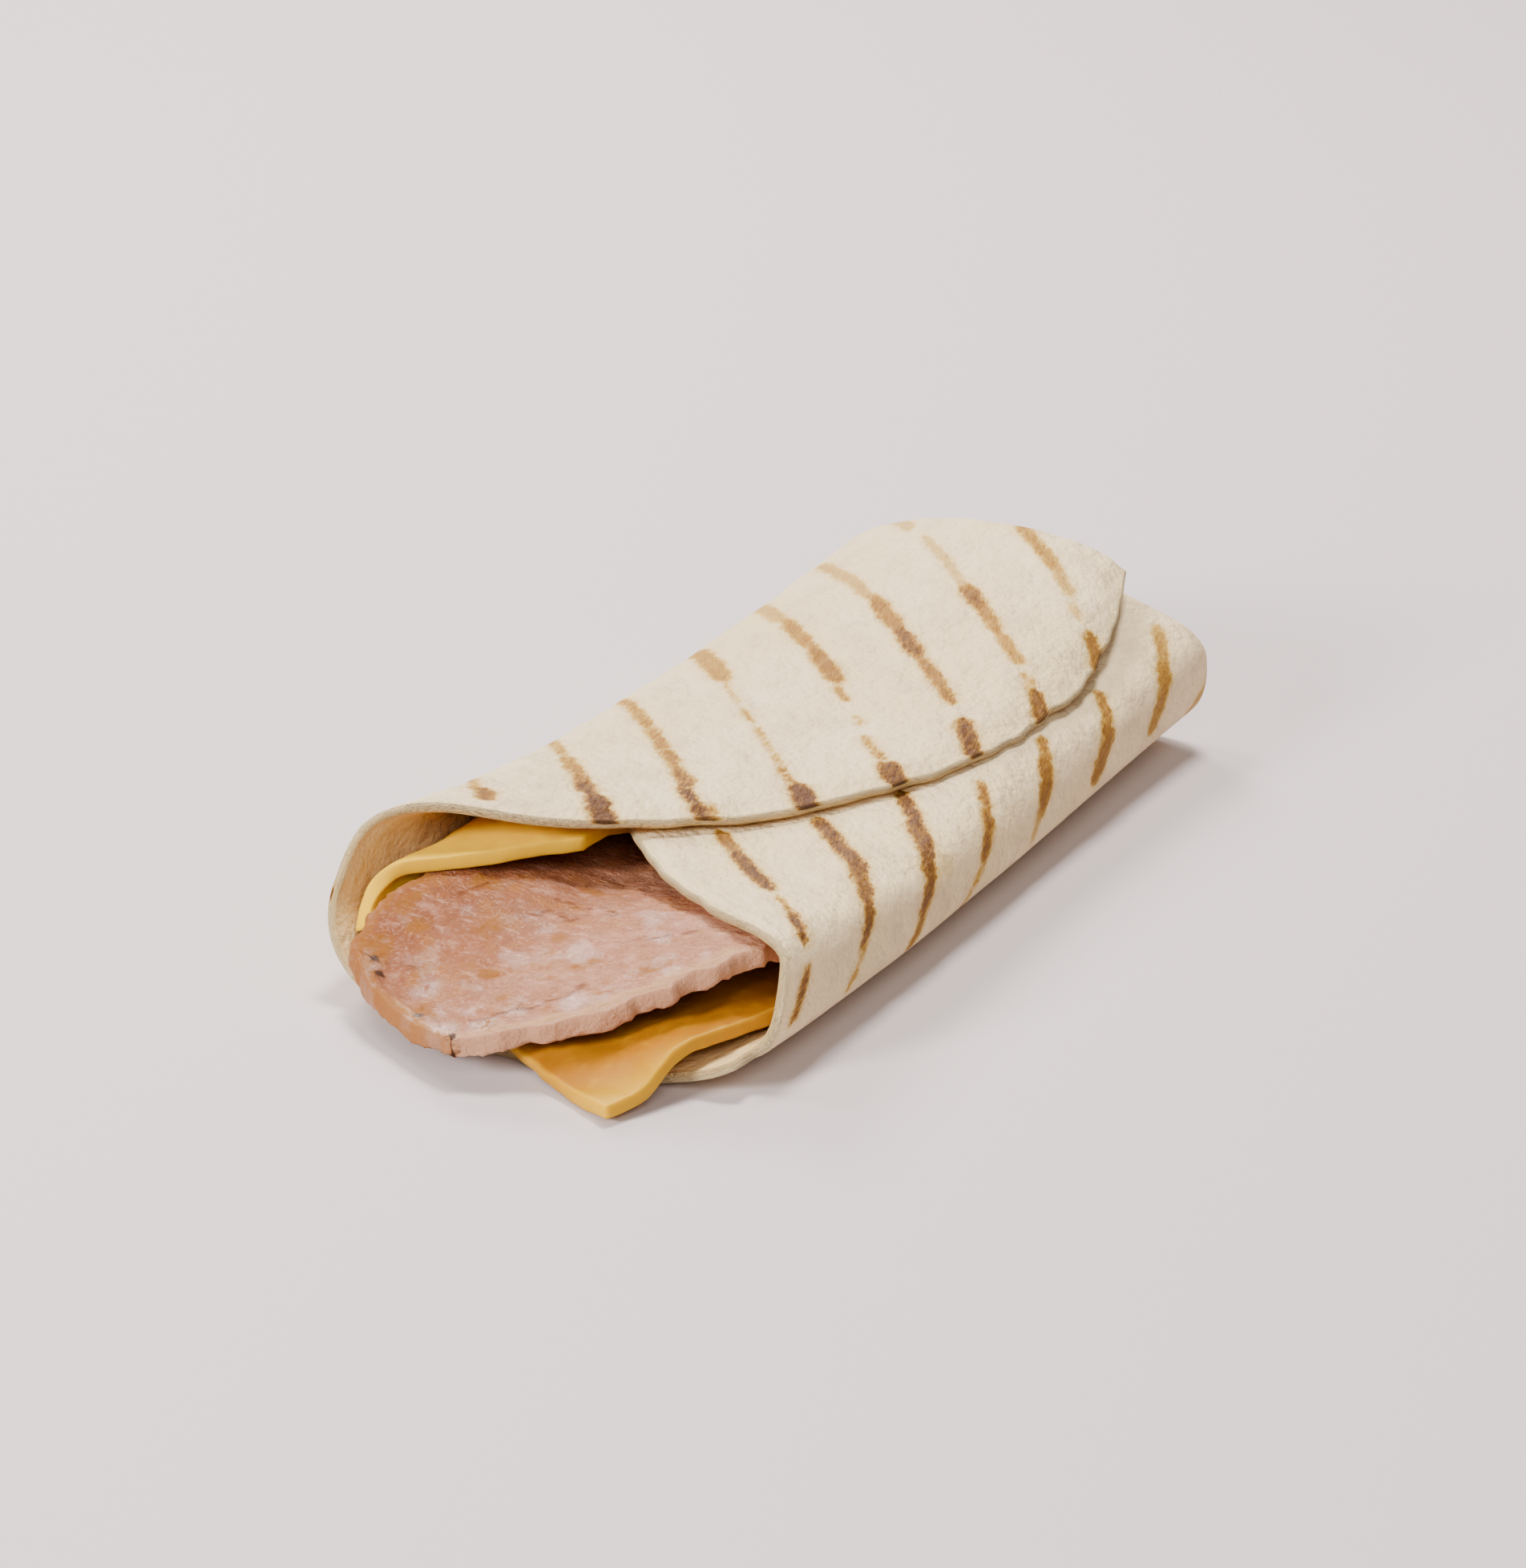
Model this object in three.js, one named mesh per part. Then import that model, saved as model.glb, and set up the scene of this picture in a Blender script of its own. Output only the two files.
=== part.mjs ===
// A breakfast wrap: one round flour tortilla with its far third folded in and its two sides folded over,
// round a slice of back bacon that lies between two slices of cheese.
// Millimetres, +Z up. The open end looks along -Y and the folded end along +Y; the wrap lies on z = 0.
//
// The tortilla is worked out flat and then rolled. On the flat sheet v runs from the folded end to the open end
// and u runs across, from the edge of the left flap (negative) to the edge of the right flap (positive).
// A cross-section of the roll is a flattened oval, and u is the length walked round it from the middle of the floor.

import * as THREE from "three";

// ---- driving dimensions ----

const TORTILLA_RADIUS = 127;
const SHEET = 2.2; // thickness of the tortilla
const LAYER_GAP = 0.4; // air between two layers that lie on each other
const SHEET_OFFSET = 2.7; // the sheet's centre lies this far to the right of the floor's middle line
const FOLD_V = -46; // the far fold, as a height on the flat sheet
const TURNED_IN = 30; // how far the folded-in part reaches back into the roll
const LEFT_SHORT = 7; // the sheet isn't quite round: beside the mouth its edge runs this far inside the circle
const RIGHT_SHORT = 5.4;

// The oval, as polynomials in v / STATION. Widths and heights are those of the outer surface.
const STATION = 60;
const HALF_WIDTH = [39.0, 1.9, 0.1, -0.4];
const CENTRE_X = [1.6, -0.4, 0.5];
const HALF_HEIGHT = [13.7, -3.2, 1.6, 0.4];
const MOUTH_FLARE = 2.6; // how far the left wall swells out at the mouth
const LEFT_LEAN = [0.09, 0.07]; // share by which the left side stands taller than the right
const TOP_SAG = [1.6, 2.9];
const LEFT_POWER = [2.5, 0.06]; // 2 is an ellipse, more is boxier
const RIGHT_POWER = [2.8, 1.1];
const FLOOR_POWER = 3.0;
const FLOOR_PRESSED = 0.35; // the floor's middle strip is pressed flat by this much
const LARGEST_POWER = 5.5;

// The left flap lies over the right one.
const FLAP_RISE = [2.6, 1.4]; // of the left flap, at v = 0, and more of it at one station nearer the open end
const FLAP_LIFT_START = 140; // degrees from the floor's middle at which the left flap starts to rise, over the next 60
const FLAP_LIFT_SPAN = 60;
const FAR_DROP = 3.9; // how much lower the right flap lies at the far fold, where the turned-in layer is between
const FAR_DROP_SPAN = [26, 60]; // it keeps this drop to the first distance from the fold, and loses it by the second
const TONGUE_ROOM = 12.2; // from the roof's outer surface down to the middle of the tongue that closes the end
const TONGUE_REACH = 25; // length of sheet in which the tongue rises from the floor to the roof
const TONGUE_SHRINK = 9; // how much less deep it reaches, by rising

const LOWER_CHEESE = [72, 52]; // length and width of the lower slice
const CHEESE = 2.5; // thickness of a slice
const BACON = 4.2; // thickness of the slice of bacon

// Colours of the real food.
const TORTILLA_COLOUR = 0xe9e2d6;
const CHEESE_COLOUR = 0xf0b345;
const BACON_COLOUR = 0xd9a794;

// Faces along and across each sheet.
const TORTILLA_ROWS = 27;
const TORTILLA_TURN_ROWS = 3;
const TORTILLA_TUCK_ROWS = 7;
const TORTILLA_COLUMNS = 62;
const TURN_WEIGHT = 26; // columns crowd where the sheet turns: a full half turn counts as this many millimetres
const CHEESE_FACES = 13;
const BACON_ROWS = 22;
const BACON_COLUMNS = 18;

// ---- small helpers ----

const DEGREE = Math.PI / 180;
const clamp = (value, low, high) => Math.min(high, Math.max(low, value));
const mix = (a, b, share) => a + (b - a) * share;
const smooth = (share) => {
  const t = clamp(share, 0, 1);
  return t * t * (3 - 2 * t);
};
const polynomial = (terms, x) => terms.reduce((sum, term, power) => sum + term * x ** power, 0);
const signedPower = (value, power) => Math.sign(value) * Math.abs(value) ** power;

// ---- the roll ----

// The numbers that shape the oval at station v.
function ovalAt(v) {
  const q = v / STATION;
  return {
    centre: polynomial(CENTRE_X, q),
    halfWidth: polynomial(HALF_WIDTH, q),
    flare: MOUTH_FLARE * smooth((v - 96) / 14),
    halfHeight: polynomial(HALF_HEIGHT, q),
    lean: polynomial(LEFT_LEAN, q),
    sag: polynomial(TOP_SAG, q),
    leftPower: polynomial(LEFT_POWER, q),
    rightPower: Math.min(polynomial(RIGHT_POWER, q), LARGEST_POWER),
    rise: FLAP_RISE[0] + FLAP_RISE[1] * clamp(q, -1, 1),
    drop: FAR_DROP * (1 - smooth((v - FOLD_V - FAR_DROP_SPAN[0]) / (FAR_DROP_SPAN[1] - FAR_DROP_SPAN[0]))),
  };
}

// A point of the plain oval: a superellipse that lies flat on z = 0, leans, and sags along its top.
function ovalPoint(oval, angle) {
  const sine = Math.sin(angle);
  const cosine = Math.cos(angle);
  const sidePower = sine < 0 ? oval.leftPower : oval.rightPower;
  const power = cosine > 0 ? FLOOR_POWER : sidePower;
  const across = signedPower(sine, 2 / power);
  const up = 1 - signedPower(cosine, 2 / power);
  const sag = cosine < 0 ? oval.sag * (1 - across * across) * -cosine : 0;
  const height = oval.halfHeight * up * (1 - oval.lean * across) - sag - FLOOR_PRESSED;
  const halfWidth = oval.halfWidth + (sine < 0 ? oval.flare : 0);
  return [oval.centre + halfWidth * across, Math.max(0, height)];
}

// How far the layer stands outside the plain oval: the left flap rises over the right one, which makes room for it.
function layerOffset(oval, angle) {
  const degrees = angle / DEGREE;
  if (degrees < 0) return oval.rise * smooth((-degrees - FLAP_LIFT_START) / FLAP_LIFT_SPAN);
  const underLeft = 1 - smooth((360 - FLAP_LIFT_START - degrees) / FLAP_LIFT_SPAN);
  return -oval.rise * underLeft - oval.drop * smooth((degrees - 95) / 50);
}

// The whole spiral at station v, from the left flap's edge to the right flap's, with the length walked round it,
// and a second length that also counts how far it has turned.
const FIRST_ANGLE = -330 * DEGREE;
const LAST_ANGLE = 290 * DEGREE;
const SPIRAL_STEPS = 496;
function spiralAt(v) {
  const oval = ovalAt(v);
  const spiral = { x: [], z: [], nx: [], nz: [], length: [], weighted: [], angle: [] };
  for (let i = 0; i <= SPIRAL_STEPS; i++) {
    const angle = mix(FIRST_ANGLE, LAST_ANGLE, i / SPIRAL_STEPS);
    const [x, z] = ovalPoint(oval, angle);
    const ahead = ovalPoint(oval, angle + 0.02);
    const behind = ovalPoint(oval, angle - 0.02);
    const size = Math.hypot(ahead[0] - behind[0], ahead[1] - behind[1]);
    const nx = (ahead[1] - behind[1]) / size;
    const nz = (behind[0] - ahead[0]) / size;
    const out = layerOffset(oval, angle);
    spiral.x.push(x + nx * out);
    spiral.z.push(z + nz * out);
    spiral.nx.push(nx);
    spiral.nz.push(nz);
    spiral.angle.push(angle);
    if (i === 0) {
      spiral.length.push(0);
      spiral.weighted.push(0);
      continue;
    }
    const walked = Math.hypot(spiral.x[i] - spiral.x[i - 1], spiral.z[i] - spiral.z[i - 1]);
    const turned = Math.hypot(nx - spiral.nx[i - 1], nz - spiral.nz[i - 1]) / Math.PI;
    spiral.length.push(spiral.length[i - 1] + walked);
    spiral.weighted.push(spiral.weighted[i - 1] + walked + TURN_WEIGHT * turned);
  }
  const middle = Math.round((SPIRAL_STEPS * -FIRST_ANGLE) / (LAST_ANGLE - FIRST_ANGLE));
  const start = spiral.length[middle];
  spiral.length = spiral.length.map((length) => length - start);
  return spiral;
}

// The value in one list where another, rising, list reaches a key.
function lookUp(keys, key, values) {
  let i = 1;
  while (i < SPIRAL_STEPS && keys[i] < key) i++;
  return mix(values[i - 1], values[i], clamp((key - keys[i - 1]) / (keys[i] - keys[i - 1]), 0, 1));
}

// The outer surface at length u on a spiral: its point, outward direction and angle.
function onSpiral(spiral, u) {
  const at = (list) => lookUp(spiral.length, u, list);
  const nx = at(spiral.nx);
  const nz = at(spiral.nz);
  const size = Math.hypot(nx, nz);
  return { x: at(spiral.x), z: at(spiral.z), nx: nx / size, nz: nz / size, angle: at(spiral.angle) };
}

// A point a given depth inside the roll's outer surface.
function insideRoll(u, v, depth) {
  const p = onSpiral(spiralAt(v), u);
  return new THREE.Vector3(p.x - p.nx * depth, -v, p.z - p.nz * depth);
}

// ---- a sheet as a solid ----

// A closed solid from the middle surface of a sheet, a grid of points, with rounded edges.
// Rows run along the first direction and the sheet's outer face is on the side of rows x columns.
function sheetSolid(middle, thickness) {
  const rows = middle.length;
  const columns = middle[0].length;
  const at = (r, c) => middle[clamp(r, 0, rows - 1)][clamp(c, 0, columns - 1)];
  const positions = [];
  const put = (point) => positions.push(point.x, point.y, point.z) / 3 - 1;
  const outer = [];
  const inner = [];
  const rim = new Map();
  for (let r = 0; r < rows; r++) {
    outer.push([]);
    inner.push([]);
    for (let c = 0; c < columns; c++) {
      const alongRows = at(r + 1, c).clone().sub(at(r - 1, c));
      const alongColumns = at(r, c + 1).clone().sub(at(r, c - 1));
      const normal = alongRows.cross(alongColumns).normalize();
      const edge = r === 0 || c === 0 || r === rows - 1 || c === columns - 1;
      const half = (thickness / 2) * (edge ? 0.72 : 1);
      outer[r].push(put(at(r, c).clone().addScaledVector(normal, half)));
      inner[r].push(put(at(r, c).clone().addScaledVector(normal, -half)));
      if (!edge) continue;
      const towardsEdge = at(r, c)
        .clone()
        .sub(at(clamp(r, 1, rows - 2), clamp(c, 1, columns - 2)));
      towardsEdge.addScaledVector(normal, -towardsEdge.dot(normal)).normalize();
      rim.set(r * columns + c, put(at(r, c).clone().addScaledVector(towardsEdge, thickness * 0.28)));
    }
  }
  const faces = [];
  const quad = (a, b, c, d) => faces.push(a, b, c, a, c, d);
  for (let r = 0; r + 1 < rows; r++)
    for (let c = 0; c + 1 < columns; c++)
      if (c < (columns - 1) / 2) {
        quad(outer[r][c], outer[r + 1][c], outer[r + 1][c + 1], outer[r][c + 1]);
        quad(inner[r][c], inner[r][c + 1], inner[r + 1][c + 1], inner[r + 1][c]);
      } else {
        quad(outer[r + 1][c], outer[r + 1][c + 1], outer[r][c + 1], outer[r][c]);
        quad(inner[r + 1][c], inner[r][c], inner[r][c + 1], inner[r + 1][c + 1]);
      }
  const border = [];
  for (let c = 0; c < columns - 1; c++) border.push([0, c]);
  for (let r = 0; r < rows - 1; r++) border.push([r, columns - 1]);
  for (let c = columns - 1; c > 0; c--) border.push([rows - 1, c]);
  for (let r = rows - 1; r > 0; r--) border.push([r, 0]);
  border.forEach(([r, c], i) => {
    const [r2, c2] = border[(i + 1) % border.length];
    const here = rim.get(r * columns + c);
    const next = rim.get(r2 * columns + c2);
    quad(outer[r][c], outer[r2][c2], next, here);
    quad(here, next, inner[r2][c2], inner[r][c]);
  });
  const geometry = new THREE.BufferGeometry();
  geometry.setAttribute("position", new THREE.Float32BufferAttribute(positions, 3));
  geometry.setIndex(faces);
  return geometry;
}

// ---- the tortilla ----

// Half the sheet's width at v, to the left and to the right of its centre.
function chordsAt(v) {
  const leftV = v + LEFT_SHORT * smooth((118 - v) / 12) * smooth((v - 20) / 70);
  const rightV = v + RIGHT_SHORT * smooth((123.5 - v) / 8) * smooth((v - 45) / 30);
  return [leftV, rightV].map((reach) => Math.sqrt(TORTILLA_RADIUS ** 2 - reach ** 2));
}

// How far the tongue has closed the end, at a depth behind the fold and a place on the floor.
function tongueLift(depth, angle) {
  return smooth(depth / TONGUE_REACH) * (1 - Math.abs(Math.sin(angle)) ** 6);
}

// One row of the sheet's middle surface. turn goes from 0, the outside of the roll, to 1, the turned-in layer.
function tortillaRow(sheetV, stationV, turn) {
  const [left, right] = chordsAt(sheetV);
  const spiral = spiralAt(stationV);
  const roof = ovalAt(stationV);
  const turnRadius = (SHEET + LAYER_GAP) / 2;
  const depth = SHEET / 2 + turnRadius * (1 - Math.cos(Math.PI * turn));
  const beyond = turnRadius * Math.sin(Math.PI * turn);
  const from = lookUp(spiral.length, SHEET_OFFSET - left, spiral.weighted);
  const to = lookUp(spiral.length, SHEET_OFFSET + right, spiral.weighted);
  const row = [];
  for (let c = 0; c <= TORTILLA_COLUMNS; c++) {
    const u = lookUp(spiral.weighted, mix(from, to, c / TORTILLA_COLUMNS), spiral.length);
    const p = onSpiral(spiral, u);
    const point = new THREE.Vector3(p.x - p.nx * depth, beyond - stationV, p.z - p.nz * depth);
    if (turn === 1 && Math.abs(p.angle) < Math.PI / 2) {
      const lift = tongueLift(stationV - FOLD_V, p.angle);
      const ceiling = ovalPoint(roof, Math.PI - p.angle)[1] - TONGUE_ROOM;
      point.z = mix(point.z, ceiling, lift);
      point.y += TONGUE_SHRINK * lift;
    }
    row.push(point);
  }
  return row;
}

function tortilla() {
  const rows = [];
  const foldAngle = Math.asin(FOLD_V / TORTILLA_RADIUS);
  const lastAngle = 87.6 * DEGREE; // the last row is a short one, just inside the sheet's front edge
  for (let r = 0; r <= TORTILLA_ROWS; r++) {
    const v = TORTILLA_RADIUS * Math.sin(mix(lastAngle, foldAngle, r / TORTILLA_ROWS));
    rows.push(tortillaRow(v, v, 0));
  }
  for (let r = 1; r < TORTILLA_TURN_ROWS; r++) rows.push(tortillaRow(FOLD_V, FOLD_V, r / TORTILLA_TURN_ROWS));
  for (let r = 0; r <= TORTILLA_TUCK_ROWS; r++) {
    const depth = (TURNED_IN * r) / TORTILLA_TUCK_ROWS;
    rows.push(tortillaRow(FOLD_V - depth, FOLD_V + depth, 1));
  }
  return sheetSolid(rows, SHEET);
}

// ---- the cheese ----

// The lower slice sticks out in front with one corner on the table, lies on the floor of the roll and climbs its
// right wall. Its right edge is humped, clear of the tortilla.
const LOWER_CORNER = [23, 140]; // on the flat sheet
const LOWER_TURN = -65 * DEGREE; // of its right edge, seen on the flat sheet
const LOWER_HUMP = 2.4;
function lowerCheese() {
  const rows = [];
  for (let i = 0; i <= CHEESE_FACES; i++) {
    rows.push([]);
    for (let j = 0; j <= CHEESE_FACES; j++) {
      const p = (LOWER_CHEESE[0] * i) / CHEESE_FACES;
      const q = (LOWER_CHEESE[1] * j) / CHEESE_FACES;
      const u = LOWER_CORNER[0] + p * Math.cos(LOWER_TURN) + q * Math.sin(LOWER_TURN);
      const v = LOWER_CORNER[1] + p * Math.sin(LOWER_TURN) - q * Math.cos(LOWER_TURN);
      const hump = LOWER_HUMP * smooth((p - 7) / 12) * smooth((u - 4) / 20) * (1 - smooth((u - 28) / 12));
      const overRim = (SHEET + 0.45) * smooth((v - 126.5) / 9);
      rows[i].push(insideRoll(u, v, SHEET + 0.5 + CHEESE / 2 + hump - overRim));
    }
  }
  return sheetSolid(rows, CHEESE);
}

// The upper slice lies on the bacon under the left flap, and its left part hangs down the left wall. Across, it
// goes from its right edge to the bend and then down; its front edge runs slantwise from the right edge forwards.
const UPPER_RIGHT_X = -11.5;
const UPPER_BEND_X = -32.8;
const UPPER_BEND_RADIUS = 3.5;
const UPPER_DROP = 4; // how far it hangs below the bend
const UPPER_FRONT_Y = [-83, -108]; // at the right edge and at the bend
const UPPER_TOE_Y = -115; // at its lowest corner
const UPPER_BACK_Y = -30;
function upperCheese() {
  const level = UPPER_RIGHT_X - UPPER_BEND_X - UPPER_BEND_RADIUS;
  const arc = (UPPER_BEND_RADIUS * Math.PI) / 2;
  const rows = [];
  for (let i = 0; i <= CHEESE_FACES; i++) {
    const w = ((level + arc + UPPER_DROP) * i) / CHEESE_FACES;
    const bend = clamp((w - level) / UPPER_BEND_RADIUS, 0, Math.PI / 2);
    const below = Math.max(0, w - level - arc);
    const x = UPPER_RIGHT_X - Math.min(w, level) - UPPER_BEND_RADIUS * Math.sin(bend) + 0.06 * below ** 2;
    const spread = 0.75 * MOUTH_FLARE * clamp(w / level, 0, 1);
    const z = -UPPER_BEND_RADIUS * (1 - Math.cos(bend)) - below;
    const front = mix(UPPER_FRONT_Y[0], UPPER_FRONT_Y[1], clamp(w / (level + arc / 2), 0, 1));
    const toe = (UPPER_TOE_Y - UPPER_FRONT_Y[1]) * clamp((w - level - arc / 2) / (arc / 2 + UPPER_DROP), 0, 1);
    rows.push([]);
    for (let j = 0; j <= CHEESE_FACES; j++) {
      const y = mix(front + toe, UPPER_BACK_Y, j / CHEESE_FACES);
      const raised = mix(14.6, 17.8, smooth((-62 - y) / 15));
      rows[i].push(new THREE.Vector3(x - spread * smooth((-92 - y) / 14), y, z + raised));
    }
  }
  return sheetSolid(rows.reverse(), CHEESE);
}

// ---- the bacon ----

const BACON_TIP = [-2, -139];
const BACON_FAR_Y = 11;
const BACON_SIDES_X = [-28.7, 36];

// The height of a stretch of the roll at station v and a depth inside it, as a function of x.
function heightAt(v, depth, firstDegrees, lastDegrees) {
  const spiral = spiralAt(v);
  const place = (degrees) => spiral.angle.findIndex((angle) => angle > degrees * DEGREE);
  const step = firstDegrees < lastDegrees ? 1 : -1;
  return (x) => {
    let i = place(firstDegrees);
    while (i !== place(lastDegrees) && spiral.x[i] - spiral.nx[i] * depth < x) i += step;
    return spiral.z[i] - spiral.nz[i] * depth;
  };
}

// Height of the slice's underside: it droops out of the mouth, climbs to the right, curls up at the left, lies on
// the lower cheese and behind that on the floor, and keeps under the right flap.
function baconFloor(x, y, floor, roof) {
  const droop = mix(3.1, 8.8, smooth((y + 133) / 32)) - 3 * smooth((y + 98) / 24) - 4 * smooth((y + 58) / 20);
  const behindMouth = smooth((y + 88) / 24);
  const climb = mix(8.4, 2, smooth((y + 62) / 30)) * (Math.max(0, x + 16) / 52) ** 1.6;
  const curl = (2.3 * smooth((-4 - x) / 12) + 1.7 * smooth((-20 - x) / 10)) * smooth((y + 124) / 14);
  const behindFront = y + LOWER_CORNER[1] + (x - LOWER_CORNER[0]) * 0.46;
  const onCheese = smooth((behindFront + 5) / 5) * (1 - smooth((behindFront - LOWER_CHEESE[0] * 1.1) / 8));
  return Math.min(Math.max(droop + climb + curl * (1 - behindMouth), floor(x) + (CHEESE + 0.5) * onCheese), roof(x) - BACON);
}

// Left and right edges of the slice at y, rounded towards both ends.
function baconEdges(y) {
  const fromTip = y - BACON_TIP[1];
  const fromFar = BACON_FAR_Y - y;
  const leftShare = 1 - (1 - clamp(fromTip / 20, 0, 1)) ** 1.9;
  const rightShare = 1 - (1 - clamp(fromTip / 41, 0, 1)) ** 1.9;
  const farShare = Math.sqrt(1 - (1 - clamp(fromFar / 30, 0, 1)) ** 2);
  const middle = (BACON_SIDES_X[0] + BACON_SIDES_X[1]) / 2;
  const side = BACON_SIDES_X[0] - 2.6 * smooth((-100 - y) / 8);
  const left = mix(BACON_TIP[0], side, leftShare);
  const right = mix(BACON_TIP[0], BACON_SIDES_X[1], rightShare);
  return [mix(middle, left, farShare), mix(middle, right, farShare)];
}

function bacon() {
  const rows = [];
  for (let r = 0; r <= BACON_ROWS; r++) {
    const share = (1 - Math.cos((Math.PI * r) / BACON_ROWS)) / 2;
    const y = mix(BACON_TIP[1] + 0.6, BACON_FAR_Y - 0.6, share);
    const [left, right] = baconEdges(y);
    const floor = heightAt(-y, SHEET + 0.8, -80, 80);
    const roof = heightAt(-y, SHEET + 0.7, 260, 100);
    rows.push([]);
    for (let c = 0; c <= BACON_COLUMNS; c++) {
      const x = mix(left, right, c / BACON_COLUMNS);
      rows[r].push(new THREE.Vector3(x, y, baconFloor(x, y, floor, roof) + BACON / 2));
    }
  }
  return sheetSolid(rows, BACON);
}

// ---- the wrap ----

function piece(name, geometry, colour, roughness) {
  const mesh = new THREE.Mesh(geometry, new THREE.MeshStandardMaterial({ color: colour, roughness }));
  mesh.name = name;
  return mesh;
}

const wrap = new THREE.Group();
wrap.add(
  piece("tortilla", tortilla(), TORTILLA_COLOUR, 0.85),
  piece("lower_cheese", lowerCheese(), CHEESE_COLOUR, 0.45),
  piece("bacon", bacon(), BACON_COLOUR, 0.4),
  piece("upper_cheese", upperCheese(), CHEESE_COLOUR, 0.45),
);

// The origin is the middle of the wrap's footprint, on the table.
const bounds = new THREE.Box3().setFromObject(wrap);
const centre = bounds.getCenter(new THREE.Vector3());
wrap.position.set(-centre.x, -centre.y, -bounds.min.z);

export default wrap;
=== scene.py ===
"""A breakfast wrap: a flour tortilla rolled round a slice of back bacon and two slices of cheese.

Lengths in the shape functions are millimetres in the roll's own coordinates: it lies on z = 0 and its open end
looks along -y. put() turns them into metres in the row frame. On the flat tortilla v runs from the folded end
to the open end, as -y does, and u runs across.

A cross-section of the roll is a superellipse that lies flat on z = 0:
    x = centre + half_width X,   z = half_height Z (1 - lean X) - sag (1 - X^2) over the top,
    X = sign(sin a) |sin a|^(2/p),   Z = 1 - sign(cos a) |cos a|^(2/p),
with a the angle from the middle of the floor. Its sizes are polynomials in v, and its left wall flares at the
mouth. The length walked round it is u, and the left flap is offset outwards and the right flap inwards, so that
they lie on each other. Every sheet is a grid of middle points, offset about half its thickness to both sides
along its normals and closed by half-round rims.
"""

import bpy
import numpy as np
from mathutils import Matrix, Vector


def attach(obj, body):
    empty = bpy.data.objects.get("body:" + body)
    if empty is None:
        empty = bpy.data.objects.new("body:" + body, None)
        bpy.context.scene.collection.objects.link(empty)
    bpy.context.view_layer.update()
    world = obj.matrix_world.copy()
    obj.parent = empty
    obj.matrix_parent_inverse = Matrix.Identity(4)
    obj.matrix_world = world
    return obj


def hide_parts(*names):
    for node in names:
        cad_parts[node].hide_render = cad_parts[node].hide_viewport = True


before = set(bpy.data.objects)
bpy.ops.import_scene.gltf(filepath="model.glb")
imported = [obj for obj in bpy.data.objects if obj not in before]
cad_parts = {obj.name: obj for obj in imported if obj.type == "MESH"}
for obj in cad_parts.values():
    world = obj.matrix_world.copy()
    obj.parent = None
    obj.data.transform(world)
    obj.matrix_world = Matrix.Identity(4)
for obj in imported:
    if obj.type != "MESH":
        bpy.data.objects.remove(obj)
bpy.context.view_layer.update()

MM = 0.001
METRE = 1000.0  # in millimetres
ORIGIN = np.array([1.323, -46.303, 0.0])  # the row's origin in the roll's coordinates

# ---- the roll, nearly as in the solids ----

RADIUS = 127.0  # of the flat tortilla
SHEET = 2.2  # thickness of the tortilla
LAYER_GAP = 0.4  # air between two layers that lie on each other
SHEET_OFFSET = 2.7  # the sheet's centre lies this far to the right of the floor's middle line
FOLD_V = -46.0  # the far fold, as a height on the flat sheet
TURNED_IN = 30.0  # how far the folded-in part reaches back into the roll
LEFT_SHORT = 7.8  # the sheet isn't quite round: beside the mouth its edge lies as if v were this much more
RIGHT_SHORT = 5.4

# The oval, as polynomials in v / STATION. Widths and heights are those of the outer surface.
STATION = 60.0
HALF_WIDTH = (39.0, 1.9, 0.1, -0.4)
CENTRE_X = (1.6, -0.4, 0.5)
HALF_HEIGHT = (13.7, -3.2, 1.6, 0.4)
MOUTH_FLARE = 2.6  # how far the left wall swells out at the mouth
LEFT_LEAN = (0.09, 0.07)  # share by which the left side stands taller than the right
TOP_SAG = (1.6, 2.9)
LEFT_POWER = (2.5, 0.06)  # 2 is an ellipse, more is boxier
RIGHT_POWER = (2.8, 1.1)
RIGHT_POWER_RANGE = (1.6, 5.5)
FLOOR_POWER = 3.0
FLOOR_PRESSED = 0.35  # the floor's middle strip is pressed flat by this much
FLAP_RISE = (2.6, 1.4)  # of the left flap, at v = 0, and more of it at one station nearer the open end
FAR_DROP = 3.9  # how much lower the right flap lies at the far fold, where the turned-in layer is between
NORMAL_STEP = 0.02  # the outward direction is taken between two points this many radians to both sides
TURN_WEIGHT = 12.0  # columns crowd where the sheet turns: a full half turn counts as this many millimetres

TONGUE_ROOM = 12.2  # from the roof's outer surface down to the middle of the tongue that closes the end
TONGUE_REACH = 25.0  # length of sheet in which the tongue rises from the floor to the roof
TONGUE_SHRINK = 9.0  # how much less deep it reaches, by rising
CHEESE = 2.5  # thickness of a slice
BACON = 4.2  # thickness of the slice of bacon


def smooth(share):
    """Goes from 0 to 1 with level ends, as share does, and stays there on both sides."""
    share = np.clip(share, 0.0, 1.0)
    return share * share * (3 - 2 * share)


def mix(a, b, share):
    return a + (b - a) * share


def polynomial(terms, q):
    return sum(term * q**power for power, term in enumerate(terms))


def waves(points, size, seed, count=28):
    """Smooth noise of about unit strength: a sum of cosines in random directions, of wavelengths near size."""
    draw = np.random.default_rng(seed)
    directions = draw.normal(size=(count, points.shape[-1]))
    directions /= np.linalg.norm(directions, axis=1, keepdims=True)
    total = np.zeros(points.shape[:-1])
    for direction in directions:
        length = size * draw.uniform(0.65, 1.6)
        total += np.cos(points @ direction * (2 * np.pi / length) + draw.uniform(0, 2 * np.pi))
    return total / np.sqrt(count / 2)


def edge_waves(along, size, seed, count):
    """The same noise along an edge, for a column that holds each row's place along it."""
    return waves(np.concatenate([along, along * 0], axis=1), size, seed, count)[:, None]


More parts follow.
